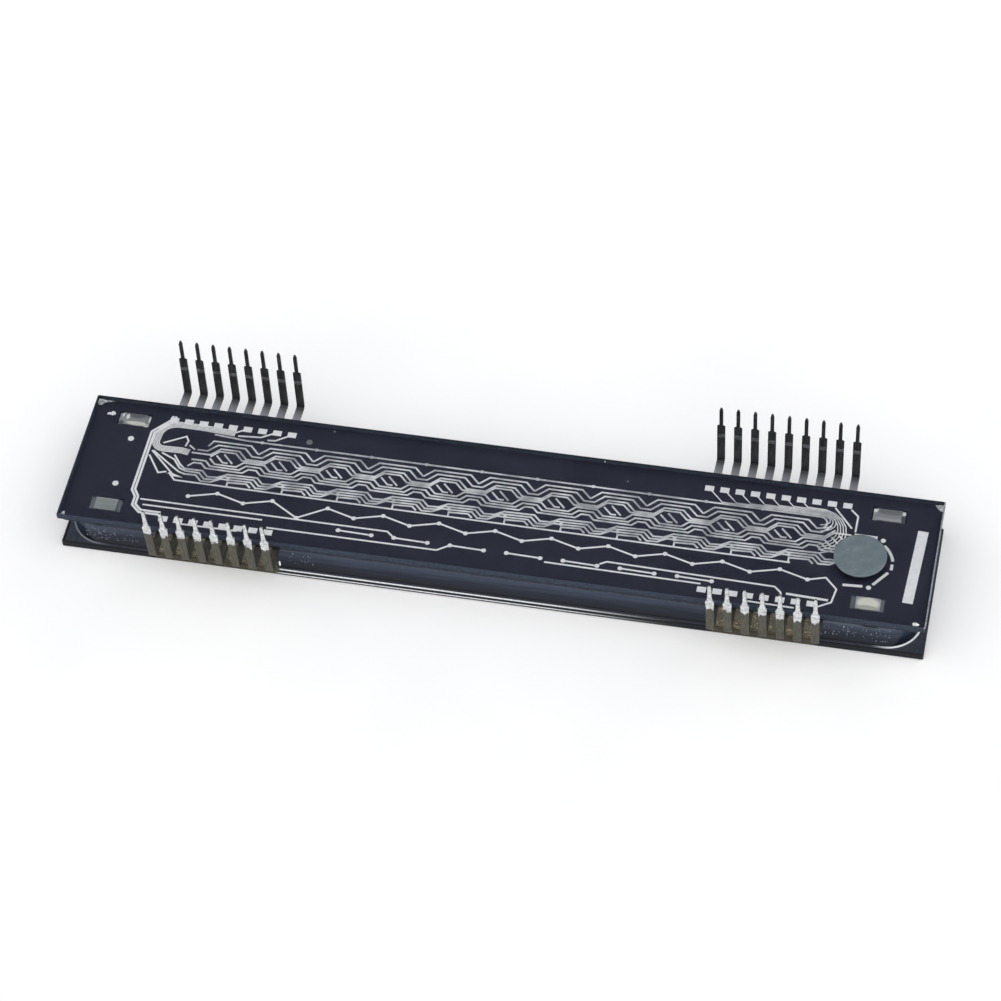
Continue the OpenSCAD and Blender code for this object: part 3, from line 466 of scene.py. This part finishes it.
# The powder is finer than this, and is drawn as coarse as it needs to show.
grain = add(tree, "ShaderNodeTexNoise", {0: coords.outputs["Object"], "Scale": every(0.1667), "Detail": 3})
tone = add(tree, "ShaderNodeValToRGB", {0: grain.outputs[0]}, stops=[(0.3, "#a9c4b6"), (0.7, "#d3e2d8")])
bump = add(tree, "ShaderNodeBump", {"Height": grain.outputs[0], "Distance": 0.01 * MM, "Strength": 0.5})
feed(tree, shader, {"Base Color": tone.outputs[0], "Normal": bump.outputs[0], "Roughness": 0.9})
dress(phosphor, "anode_segments")

# Grids
# One mesh sheet before each digit, etched from thin stainless steel, which leaves a dull grey sheen. Its
# edges are turned up into tabs that stand on the black print.
mesh_steel, tree, shader, coords = finish("stainless sheet, etched")
# The etched grain is finer than this, and is drawn as coarse as it needs to show.
etch = add(tree, "ShaderNodeTexNoise",
           {0: coords.outputs["Object"], "Scale": every(0.3846), "Detail": 4, "Roughness": 0.6})
tone = add(tree, "ShaderNodeValToRGB", {0: etch.outputs[0]}, stops=[(0.3, "#77797c"), (0.7, "#a3a5a7")])
rough = add(tree, "ShaderNodeMapRange", {0: etch.outputs[0], 3: 0.3, 4: 0.5})
feed(tree, shader, {"Base Color": tone.outputs[0], "Roughness": rough.outputs[0], "Metallic": 1.0})
dress(mesh_steel, *[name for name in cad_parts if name.startswith("grid_")])

# Filament supports
# An anchor at one end and a spring at the other, each bent from one piece of nickel alloy sheet. Their
# feet are welded in the four windows at the ends, where they show through the glass, each a little different.
FOOT_Z, TAB_SHADE_TONE, TAB_FADE = 6.3, "#72767e", 0.1 * MM


def foot_finish(name, base, middle, half, marks):
    """Rolled sheet with marks on its feet, each (x, y, half width, half depth, hex code) in millimetres.

    The white marks are painted highlights, and the grey marks make the feet lighter and darker in bands.
    The near foot has this middle and half width, and its stepped tabs are painted darker as shade.
    """
    made, tree, shader, coords = finish(name)
    roll = add(tree, "ShaderNodeMapping",
               {0: coords.outputs["Object"], "Scale": (every(6.25), every(1.111), every(1.111))})
    lines = add(tree, "ShaderNodeTexNoise", {0: roll.outputs[0], "Scale": 1, "Detail": 4, "Roughness": 0.6})
    tone = add(tree, "ShaderNodeValToRGB", {0: lines.outputs[0]}, stops=[(0.3, base[0]), (0.7, base[1])])
    marked = touched(tree, coords, tone.outputs[0],
                     [((x, y, FOOT_Z), (wide, deep, 1), code) for x, y, wide, deep, code in marks])
    place = add(tree, "ShaderNodeSeparateXYZ", {0: coords.outputs["Object"]})
    near = add(tree, "ShaderNodeMapRange", {0: place.outputs[1], 1: 0.0, 2: -MM})
    # Painted shade: the near foot's stepped tabs, outside its middle, are darker.
    inner = between(tree, place.outputs[0], (middle - half) * MM, (middle + half) * MM, (TAB_FADE, TAB_FADE))
    outer = add(tree, "ShaderNodeMath", {0: 1.0, 1: inner}, operation="SUBTRACT")
    tab_shade = add(tree, "ShaderNodeMath", {0: outer.outputs[0], 1: near.outputs[0]}, operation="MULTIPLY")
    tab_shaded = add(tree, "ShaderNodeMix", {0: tab_shade.outputs[0], 6: marked, 7: colour(TAB_SHADE_TONE)},
                 data_type="RGBA")
    rough = add(tree, "ShaderNodeMapRange", {0: lines.outputs[0], 3: 0.3, 4: 0.5})
    feed(tree, shader, {"Base Color": tab_shaded.outputs[2], "Roughness": rough.outputs[0], "Metallic": 0.2})
    return made


# The white marks listed for each foot are painted highlights.
dress(foot_finish("nickel alloy sheet, rolled and bent", ("#8d9294", "#a9adae"), -58.4, 1.6,
                  [(-58.2, 8.9, 1.9, 0.7, "#98989a"),
                   (-58.2, 9.6, 1.7, 0.7, "#707175"),
                   (-57.8, 7.95, 1.9, 0.45, "#e6e4da"),
                   (-60.4, 7.9, 0.5, 0.5, "#666a70"),
                   (-60.3, 9.5, 0.2, 0.5, "#ffffff"),
                   (-59.5, 9.1, 0.3, 0.55, "#ffffff"),
                   (-56.1, 9.1, 0.2, 0.6, "#ffffff"),
                   (-56.5, 7.7, 0.35, 0.25, "#f6f6f2")]), "anchor_support")
dress(foot_finish("nickel alloy sheet, spring tempered", ("#a2a6aa", "#bfc1bf"), 56.2, 1.75,
                  [(56.2, -8.1, 1.8, 1.2, "#f3f1e4"),
                   (56.2, -8.8, 1.6, 0.4, "#c4c4bb"),
                   (57.1, 7.6, 2.4, 0.7, "#b0b1b5"),
                   (57.1, 8.6, 2.4, 0.6, "#97989c"),
                   (57.1, 9.4, 2.4, 0.7, "#787a7e"),
                   (59.6, 8.4, 0.8, 1.6, "#5c5f65"),
                   (55.0, 9.5, 0.45, 0.4, "#f4f5f5"),
                   (59.2, 9.4, 0.3, 0.4, "#ffffff")]), "spring_support")

# Filaments
# The three cathode wires along the display. They are fine tungsten wire with a white oxide coat, matt as
# chalk, stretched between the anchor and the spring.
oxide, tree, shader, coords = finish("tungsten wire, oxide coated")
# The oxide's grain is finer than this, and is drawn as coarse as it needs to show.
grain = add(tree, "ShaderNodeTexNoise", {0: coords.outputs["Object"], "Scale": every(0.1111), "Detail": 2})
tone = add(tree, "ShaderNodeValToRGB", {0: grain.outputs[0]}, stops=[(0.3, "#cfcabc"), (0.7, "#f1eee4")])
feed(tree, shader, {"Base Color": tone.outputs[0], "Roughness": 0.9})
dress(oxide, *[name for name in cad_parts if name.startswith("filament_")])

# Getter
# The ring that takes up the last gas after sealing. It is a pressed steel channel that holds a charge of
# barium alloy, heat-tinted when it was fired.
fired, tree, shader, coords = finish("pressed steel, heat tinted")
tint = add(tree, "ShaderNodeTexNoise", {0: coords.outputs["Object"], "Scale": every(2), "Detail": 4})
tone = add(tree, "ShaderNodeValToRGB", {0: tint.outputs[0]},
           stops=[(0.3, "#6f6a66"), (0.5, "#9a968d"), (0.7, "#7d7f8c")])
feed(tree, shader, {"Base Color": tone.outputs[0], "Roughness": 0.4, "Metallic": 1.0})
dress(fired, "getter_ring")

# Substrate glass
# The back plate, which carries the wiring on its inner face. It is clear float glass, cut and edge
# ground like the cover, with the exhaust hole drilled near one end. Its low index keeps the film bright.
# The arris at the right end is pale as a painted highlight.
dress(plate_finish("clear float glass, cut and edge ground", 1.15, "#ffffff", "#fafcfc",
                   edge=("#2b313c", "#474f5c"), arris_highlight=("#5c636b", "#a4abb2"),
                   highlight_span=(64.75 * MM, 66 * MM, (0.1 * MM, MM))), "substrate_glass")

# Flecks
# Marks on the plate. The flakes at the corners, under the glass past the black print, are painted light
# where the clear glass corners show bright, and the dust, left in handling, lies on top of the plate.
SUBSTRATE_LOW, SUBSTRATE_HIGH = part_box("substrate_glass")
FLAKE_SIDES, FLAKE_LEAST, FLAKE_SPREAD = 14, 0.7, 0.5
FLAKE_H, FLAKE_TOP = 0.012 * MM, 0.88
FLAKE_DROP, DUST_LIFT = 0.025 * MM, 0.001 * MM


def ragged(x, y, wide, deep, seed):
    """The outline of a small uneven flake round a place, in millimetres."""
    reach = FLAKE_LEAST + FLAKE_SPREAD * np.random.default_rng(seed).random(FLAKE_SIDES)
    turns = np.arange(FLAKE_SIDES) * 2 * math.pi / FLAKE_SIDES
    return [(x + wide * r * math.cos(t), y + deep * r * math.sin(t)) for r, t in zip(reach, turns)]


def flakes(name, outlines, z, material):
    """Flat flakes with sloping rims on one level."""
    form = bmesh.new()
    for outline in outlines:
        middle = np.mean(outline, 0)
        rims = []
        for height, shrink in ((0.0, 1.0), (FLAKE_H, FLAKE_TOP)):
            spread = (middle + (np.array(outline) - middle) * shrink) * MM
            rims.append([form.verts.new((x, y, z + height)) for x, y in spread])
        for k in range(len(outline)):
            after = (k + 1) % len(outline)
            form.faces.new((rims[0][k], rims[0][after], rims[1][after], rims[1][k]))
        form.faces.new(rims[0][::-1])
        form.faces.new(rims[1])
    bmesh.ops.recalc_face_normals(form, faces=form.faces)
    mesh = bpy.data.meshes.new(name)
    form.to_mesh(mesh)
    form.free()
    mesh.materials.append(material)
    piece = placed(name, mesh)
    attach(piece, "root")


# Painted light: pale flakes where the clear glass corners show bright.
flakes("corner_flakes",
       [[(-64.75, 11.75), (-64.8, 10.9), (-64.5, 10.6), (-64.1, 10.75), (-63.7, 11.3), (-62.2, 11.75)],
        [(64.75, 11.75), (63.5, 11.75), (63.7, 11.4), (64.0, 11.0), (64.5, 10.6), (64.75, 10.7)],
        ragged(-64.35, -10.9, 0.35, 0.45, 71)],
       SUBSTRATE_LOW[2] - FLAKE_DROP,
       grain_finish("pale flakes, painted light at the glass corners", "#8d949a", "#fbfcfc"))
flakes("dust",
       [ragged(63.5, -11.4, 0.55, 0.34, 72), ragged(-62.25, 8.5, 0.3, 0.28, 73),
        ragged(-61.7, 8.65, 0.42, 0.4, 74), ragged(14, 11.3, 0.1, 0.1, 75),
        ragged(18, 8.1, 0.1, 0.08, 76), ragged(-27.4, 10.5, 0.1, 0.12, 77),
        ragged(-50.5, -1.6, 0.07, 0.07, 78), ragged(-46, 1.3, 0.06, 0.06, 79)],
       SUBSTRATE_HIGH[2] + DUST_LIFT, grain_finish("dust, settled", "#b4b9be", "#f6f7f8"))

# Exhaust disc
# The disc that closes the exhaust hole once the tube is pumped out. It is a stamped alloy disc, matt
# blue-grey from the oven, stuck down on a ring of frit that shows as a dark line round it.
plug, tree, shader, coords = finish("alloy disc, stamped and oxidised")
scale_film = add(tree, "ShaderNodeTexNoise",
                 {0: coords.outputs["Object"], "Scale": every(1.538), "Detail": 6, "Roughness": 0.6})
tone = add(tree, "ShaderNodeValToRGB", {0: scale_film.outputs[0]},
           stops=[(0.3, "#65727a"), (0.55, "#6f7c81"), (0.75, "#7d898c")])
# The scale's own grain is finer than this, and is drawn as coarse as it needs to show.
fine = add(tree, "ShaderNodeTexNoise", {0: coords.outputs["Object"], "Scale": every(0.1429), "Detail": 2})
rough = add(tree, "ShaderNodeMapRange", {0: scale_film.outputs[0], 3: 0.45, 4: 0.65})
bump = add(tree, "ShaderNodeBump", {"Height": fine.outputs[0], "Distance": 0.01 * MM, "Strength": 0.4})
feed(tree, shader, {"Base Color": tone.outputs[0], "Roughness": rough.outputs[0],
                    "Normal": bump.outputs[0], "Metallic": 0.2})
dress(plug, "exhaust_disc")
dress(frit_finish("sealing frit, fired dark", "#1d1a20", "#2c2a30", "#45434a")[0], "exhaust_frit")

# Leads
# Strips stamped from iron-nickel alloy and bent up, in two groups on each long side. Their outer faces are
# tinned at the upper end and olive below. The far row's inner faces are painted dark as shade, darkest at
# the bends, and their upward flats carry a painted highlight that brightens towards the glass.
SHANK_W, SHANK_T, TIP_W, TIP_H = 1.2 * MM, 0.25 * MM, 0.55 * MM, 3.9 * MM
DIP_DEPTH, DIP_WAVE, DIP_FADE = 1.9 * MM, 0.4 * MM, 0.15 * MM
DIP_LINE = cad_high[2] - TIP_H - DIP_DEPTH
BEND_Y, GLASS_Y = 15.4 * MM, 12.2 * MM
strip, tree, shader, coords = finish("iron-nickel strip, stamped, bent and tinned")
# The rolling marks are finer than this, and are drawn as coarse as they need to show.
pull = add(tree, "ShaderNodeMapping",
           {0: coords.outputs["Object"], "Scale": (every(0.2), every(1.111), every(1.4286))})
lines = add(tree, "ShaderNodeTexNoise", {0: pull.outputs[0], "Scale": 1, "Detail": 4, "Roughness": 0.6})
olive = add(tree, "ShaderNodeValToRGB", {0: lines.outputs[0]},
            stops=[(0.3, "#47463e"), (0.55, "#5a5950"), (0.75, "#6e6c61")])
# Painted shade: the far row's inner faces take this dark grey.
grey = add(tree, "ShaderNodeValToRGB", {0: lines.outputs[0]},
           stops=[(0.3, "#3e3f41"), (0.55, "#505153"), (0.75, "#656667")])
place = add(tree, "ShaderNodeSeparateXYZ", {0: coords.outputs["Object"]})
slant = add(tree, "ShaderNodeSeparateXYZ", {0: coords.outputs["Normal"]})
row = add(tree, "ShaderNodeMapRange", {0: place.outputs[1], 1: -MM, 2: MM, 3: -1.0, 4: 1.0})
away = add(tree, "ShaderNodeMath", {0: slant.outputs[1], 1: row.outputs[0]}, operation="MULTIPLY")
outer = add(tree, "ShaderNodeMapRange", {0: away.outputs[0], 1: 0.3, 2: 0.5})
# Painted highlight: flats that face up are lighter, brightest towards the glass.
flat = add(tree, "ShaderNodeMapRange", {0: slant.outputs[2], 1: 0.85, 2: 0.9})
inward = add(tree, "ShaderNodeMapRange", {0: place.outputs[1], 1: BEND_Y, 2: GLASS_Y})
flat_highlight = add(tree, "ShaderNodeValToRGB", {0: inward.outputs[0]},
             stops=[(0.0, "#808183"), (0.4, "#bebfc1"), (1.0, "#e4e5e7")])
flats_highlit = add(tree, "ShaderNodeMix", {0: flat.outputs[0], 6: grey.outputs[0], 7: flat_highlight.outputs[0]},
           data_type="RGBA")
# Painted shade: the bends of the far row are darker.
bend = between(tree, slant.outputs[2], 0.3, 0.955, (0.1, 0.02))
bend_shaded = add(tree, "ShaderNodeMix", {0: bend, 6: flats_highlit.outputs[2], 7: colour("#2a2b2d")}, data_type="RGBA")
near = add(tree, "ShaderNodeMapRange", {0: place.outputs[1], 1: 0.0, 2: -MM})
flux = add(tree, "ShaderNodeMath", {0: outer.outputs[0], 1: near.outputs[0]}, operation="MAXIMUM")
bare = add(tree, "ShaderNodeMix", {0: flux.outputs[0], 6: bend_shaded.outputs[2], 7: olive.outputs[0]},
           data_type="RGBA")
wet = add(tree, "ShaderNodeTexNoise", {0: coords.outputs["Object"], "Scale": every(0.5556), "Detail": 3})
uneven = add(tree, "ShaderNodeMapRange", {0: wet.outputs[0], 1: 0.3, 2: 0.7, 3: -DIP_WAVE, 4: DIP_WAVE})
level = add(tree, "ShaderNodeMath", {0: place.outputs[2], 1: uneven.outputs[0]}, operation="ADD")
above = add(tree, "ShaderNodeMapRange", {0: level.outputs[0], 1: DIP_LINE, 2: DIP_LINE + DIP_FADE})
tinned = add(tree, "ShaderNodeMath", {0: above.outputs[0], 1: outer.outputs[0]}, operation="MULTIPLY")
mixed = add(tree, "ShaderNodeMix", {0: tinned.outputs[0], 6: bare.outputs[2], 7: colour("#c4c7c8")},
            data_type="RGBA")
dull = add(tree, "ShaderNodeMapRange", {0: lines.outputs[0], 3: 0.36, 4: 0.52})
rough = add(tree, "ShaderNodeMix", {0: tinned.outputs[0], 2: dull.outputs[0], 3: 0.14})
bump = add(tree, "ShaderNodeBump", {"Height": lines.outputs[0], "Distance": 0.01 * MM, "Strength": 0.35})
feed(tree, shader, {"Base Color": mixed.outputs[2], "Roughness": rough.outputs[0],
                    "Normal": bump.outputs[0], "Metallic": 0.92})
dress(strip, *LEADS)

# Solder dips
# The solder on the leads' upper ends. It was picked up from a bath, so it has run down, swells over the
# shoulder of each near lead and ends in a ragged line. On the far leads it leaves a thin, dull collar,
# coloured darker as painted shade.
COAT, SLEEVE_SIDES, SLEEVE_RINGS = 0.018 * MM, 20, 36
SHOULDER, FILLET_FADE, FOOT_TAPER, FOOT_LEAST = 0.16 * MM, 0.9 * MM, 0.35 * MM, 0.15
SIDE_SHARE, REAR_TUCK, RUN_START = 0.6, 0.01 * MM, 0.7 * MM
WIDE_POWER, THICK_POWER = 0.3, 0.5
TOP_BAND, SHOULDER_BAND = 0.08 * MM, 0.28 * MM


def solder_finish(name, tones, shine):
    """Solder that set unevenly, with dross in it."""
    made, tree, shader, coords = finish(name)
    dross = add(tree, "ShaderNodeTexNoise",
                {0: coords.outputs["Object"], "Scale": every(0.5263), "Detail": 4, "Roughness": 0.65})
    tone = add(tree, "ShaderNodeValToRGB", {0: dross.outputs[0]}, stops=list(zip((0.3, 0.5, 0.7), tones)))
    rough = add(tree, "ShaderNodeMapRange", {0: dross.outputs[0], 3: shine[0], 4: shine[1]})
    bump = add(tree, "ShaderNodeBump", {"Height": dross.outputs[0], "Distance": 0.05 * MM, "Strength": 0.5})
    feed(tree, shader, {"Base Color": tone.outputs[0], "Roughness": rough.outputs[0],
                        "Normal": bump.outputs[0], "Metallic": 1.0})
    return made


def share(value):
    """A value held between 0 and 1."""
    return min(1, max(0, value))


def sleeve(name, bottom, top, fillet_w, bead, bead_at, bead_spread, back):
    """The solder round one lead, its shoulder at the origin: its front, towards -Y, has the bead."""
    form = bmesh.new()
    rings, runs = [], []
    turns = [2 * math.pi * k / SLEEVE_SIDES for k in range(SLEEVE_SIDES)]
    for i in range(SLEEVE_RINGS + 1):
        s = bottom + (top - bottom) * i / SLEEVE_RINGS
        point = share((TIP_H - s) / TIP_W)
        fillet = fillet_w * math.exp(-max(0, s) / FILLET_FADE)
        narrow = TIP_W * (0.5 + 0.5 * point) + 2 * fillet
        width = narrow + (SHANK_W - narrow) * share(-s / SHOULDER)
        foot = max(FOOT_LEAST, share((s - bottom) / FOOT_TAPER))
        coat = (COAT * foot + bead * math.exp(-((s - bead_at) / bead_spread) ** 2)) * point
        half_w = width / 2 + SIDE_SHARE * coat
        front = SHANK_T / 2 + coat
        rear = SHANK_T / 2 + (coat if back else -REAR_TUCK)
        ring = []
        for c, d in [(math.cos(turn), math.sin(turn)) for turn in turns]:
            x = half_w * math.copysign(abs(c) ** WIDE_POWER, c)
            y = (front if d < 0 else rear) * math.copysign(abs(d) ** THICK_POWER, d)
            ring.append(form.verts.new((x, y, s)))
            runs.append(share((-s - RUN_START) / (DIP_DEPTH - RUN_START)))
        rings.append(ring)
    for low, high in zip(rings, rings[1:]):
        for k in range(SLEEVE_SIDES):
            after = (k + 1) % SLEEVE_SIDES
            form.faces.new((low[k], low[after], high[after], high[k]))
    form.faces.new(rings[0][::-1])
    form.faces.new(rings[-1])
    bmesh.ops.recalc_face_normals(form, faces=form.faces)
    mesh = bpy.data.meshes.new(name)
    form.to_mesh(mesh)
    form.free()
    mesh.attributes.new("run", "FLOAT", "POINT").data.foreach_set("value", runs)
    for face in mesh.polygons:
        face.use_smooth = len(face.vertices) == 4
    return bpy.data.objects.new(name, mesh)


def dips(name, side, form, run_out, solder):
    """Sets a sleeve of solder on the shoulder of every lead of a row, with a ragged lower edge."""
    shoulders, leans = [], []
    for lead, (low, high) in zip(LEADS, LEAD_BOXES):
        if side * (low[1] + high[1]) < 0:
            continue
        points = np.array([v.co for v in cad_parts[lead].data.vertices])
        top = points[points[:, 2] > points[:, 2].max() - TOP_BAND].mean(0)
        near_shoulder = np.abs(points[:, 2] - (top[2] - TIP_H)) < SHOULDER_BAND
        axis = Vector(top - points[near_shoulder].mean(0)).normalized()
        shoulders.append(Vector(top) - axis * TIP_H)
        leans.append(math.atan2(-axis.y, axis.z))
    mesh = bpy.data.meshes.new(name)
    mesh.from_pydata(shoulders, [], [])
    mesh.attributes.new("lean", "FLOAT", "POINT").data.foreach_set("value", leans)
    tree, sockets, given = new_tree(name, {"Sleeve": "Object", "Ragged run": "Float", "Solder": "Material"})
    one = add(tree, "GeometryNodeObjectInfo", {"Object": given["Sleeve"]})
    lean = add(tree, "GeometryNodeInputNamedAttribute", {"Name": "lean"}, data_type="FLOAT")
    turn = add(tree, "ShaderNodeCombineXYZ", {"X": lean.outputs["Attribute"]})
    stood = add(tree, "FunctionNodeEulerToRotation", {0: turn.outputs[0]})
    copies = add(tree, "GeometryNodeInstanceOnPoints",
                 {"Points": given["Geometry"], "Instance": one.outputs["Geometry"],
                  "Rotation": stood.outputs[0]})
    joined = add(tree, "GeometryNodeRealizeInstances", {0: copies.outputs[0]})
    run = add(tree, "GeometryNodeInputNamedAttribute", {"Name": "run"}, data_type="FLOAT")
    drip = add(tree, "ShaderNodeTexNoise", {"Scale": every(0.5), "Detail": 1})
    swing = add(tree, "ShaderNodeMapRange", {0: drip.outputs[0], 1: 0.3, 2: 0.7, 3: -1.0, 4: 1.0})
    reach = add(tree, "ShaderNodeMath", {0: swing.outputs[0], 1: given["Ragged run"]}, operation="MULTIPLY")
    fall = add(tree, "ShaderNodeMath", {0: reach.outputs[0], 1: run.outputs["Attribute"]},
               operation="MULTIPLY")
    shift = add(tree, "ShaderNodeCombineXYZ", {"Z": fall.outputs[0]})
    moved = add(tree, "GeometryNodeSetPosition", {"Geometry": joined.outputs[0], "Offset": shift.outputs[0]})
    coated = add(tree, "GeometryNodeSetMaterial", {0: moved.outputs[0], "Material": given["Solder"]})
    add(tree, "NodeGroupOutput", {0: coated.outputs[0]})
    settle(placed(name, mesh), tree, sockets, (form, run_out, solder))
    bpy.data.objects.remove(form)


dips("near_solder_dips", -1,
     sleeve("near_sleeve", -DIP_DEPTH, TIP_H - 0.02 * MM, fillet_w=0.17 * MM,
            bead=0.1 * MM, bead_at=-0.5 * MM, bead_spread=0.65 * MM, back=True), 0.7 * MM,
     solder_finish("tin solder, dipped", ("#9da0a2", "#d3d5d6", "#f2f3f3"), (0.14, 0.3)))
# The far collars' solder colours are darkened as painted shade.
dips("far_solder_collars", 1,
     sleeve("far_sleeve", -2.55 * MM, -1.85 * MM, fillet_w=0.0,
            bead=0.03 * MM, bead_at=-2.2 * MM, bead_spread=0.3 * MM, back=False), 0.1 * MM,
     solder_finish("tin solder, run down and dull, painted dark", ("#66676a", "#8c8d90", "#aaabad"), (0.3, 0.45)))

# Floor, light and camera
# A plain white floor under an even sky, with a dark card above and behind that keeps the glass clear of
# glare. The camera stands where the photograph was taken from.
FLOOR_HALF, FLOOR_LIFT = 3, 0.15
ground = bpy.data.meshes.new("floor")
ground.from_pydata([(FLOOR_HALF * x, FLOOR_HALF * y, 0) for x, y in ((-1, -1), (1, -1), (1, 1), (-1, 1))],
                   [], [(0, 1, 2, 3)])
floor = placed("floor", ground)
paper, tree, shader, coords = finish("white paper sweep, matt")
fibre = add(tree, "ShaderNodeTexNoise", {0: coords.outputs["Object"], "Scale": every(25), "Detail": 3})
tone = add(tree, "ShaderNodeValToRGB", {0: fibre.outputs[0]}, stops=[(0.3, "#f2f2f2"), (0.7, "#f6f6f6")])
seen = add(tree, "ShaderNodeLightPath").outputs
by_eye = add(tree, "ShaderNodeMath", {0: seen["Is Camera Ray"], 1: seen["Is Glossy Ray"]},
             operation="MAXIMUM")
by_any = add(tree, "ShaderNodeMath", {0: by_eye.outputs[0], 1: seen["Is Transmission Ray"]},
             operation="MAXIMUM")
lift = add(tree, "ShaderNodeMath", {0: by_any.outputs[0], 1: FLOOR_LIFT}, operation="MULTIPLY")
feed(tree, shader, {"Base Color": tone.outputs[0], "Emission Strength": lift.outputs[0],
                    "Emission Color": (1, 1, 1, 1), "Roughness": 1.0, "Specular IOR Level": 0.0})
floor.data.materials.append(paper)

SENSOR, LENS, CLIP = 36, 134.459, (0.05, 20)
STAND = Vector((0.0866336, -0.3397163, 0.4372433))
ahead = Vector((-0.15599, 0.61420, -0.77358)).normalized()
across = Vector((0.97967, 0.19622, -0.04176))
across = (across - ahead * across.dot(ahead)).normalized()
above = across.cross(ahead)
camera_data = bpy.data.cameras.new("camera")
camera_data.sensor_width = SENSOR
camera_data.lens = LENS
camera_data.clip_start, camera_data.clip_end = CLIP
camera = placed("camera", camera_data)
camera.matrix_world = Matrix((*zip(across, above, -ahead, STAND), (0, 0, 0, 1)))
bpy.context.scene.camera = camera

SKY, CARD, CARD_EDGE = 1.3, 0.26, (0.66, 0.93)
sky = bpy.data.worlds.new("even sky and dark card")
bpy.context.scene.world = sky
sky.use_nodes = True
tree = sky.node_tree
look = add(tree, "ShaderNodeTexCoord")
card_way = Vector((ahead.x, ahead.y, -ahead.z))
facing = add(tree, "ShaderNodeVectorMath", {0: look.outputs["Generated"], 1: card_way},
             operation="DOT_PRODUCT")
card = add(tree, "ShaderNodeMapRange", {0: facing.outputs["Value"], 1: CARD_EDGE[0], 2: CARD_EDGE[1]},
           interpolation_type="SMOOTHSTEP")
fall = add(tree, "ShaderNodeMapRange", {0: card.outputs[0], 3: SKY, 4: CARD})
cool = add(tree, "ShaderNodeValToRGB", {0: card.outputs[0]}, stops=[(0.3, "#ffffff"), (1.0, "#c3cde2")])
feed(tree, tree.nodes["Background"], {"Strength": fall.outputs[0], "Color": cool.outputs[0]})
bpy.context.scene.view_settings.view_transform = "Standard"
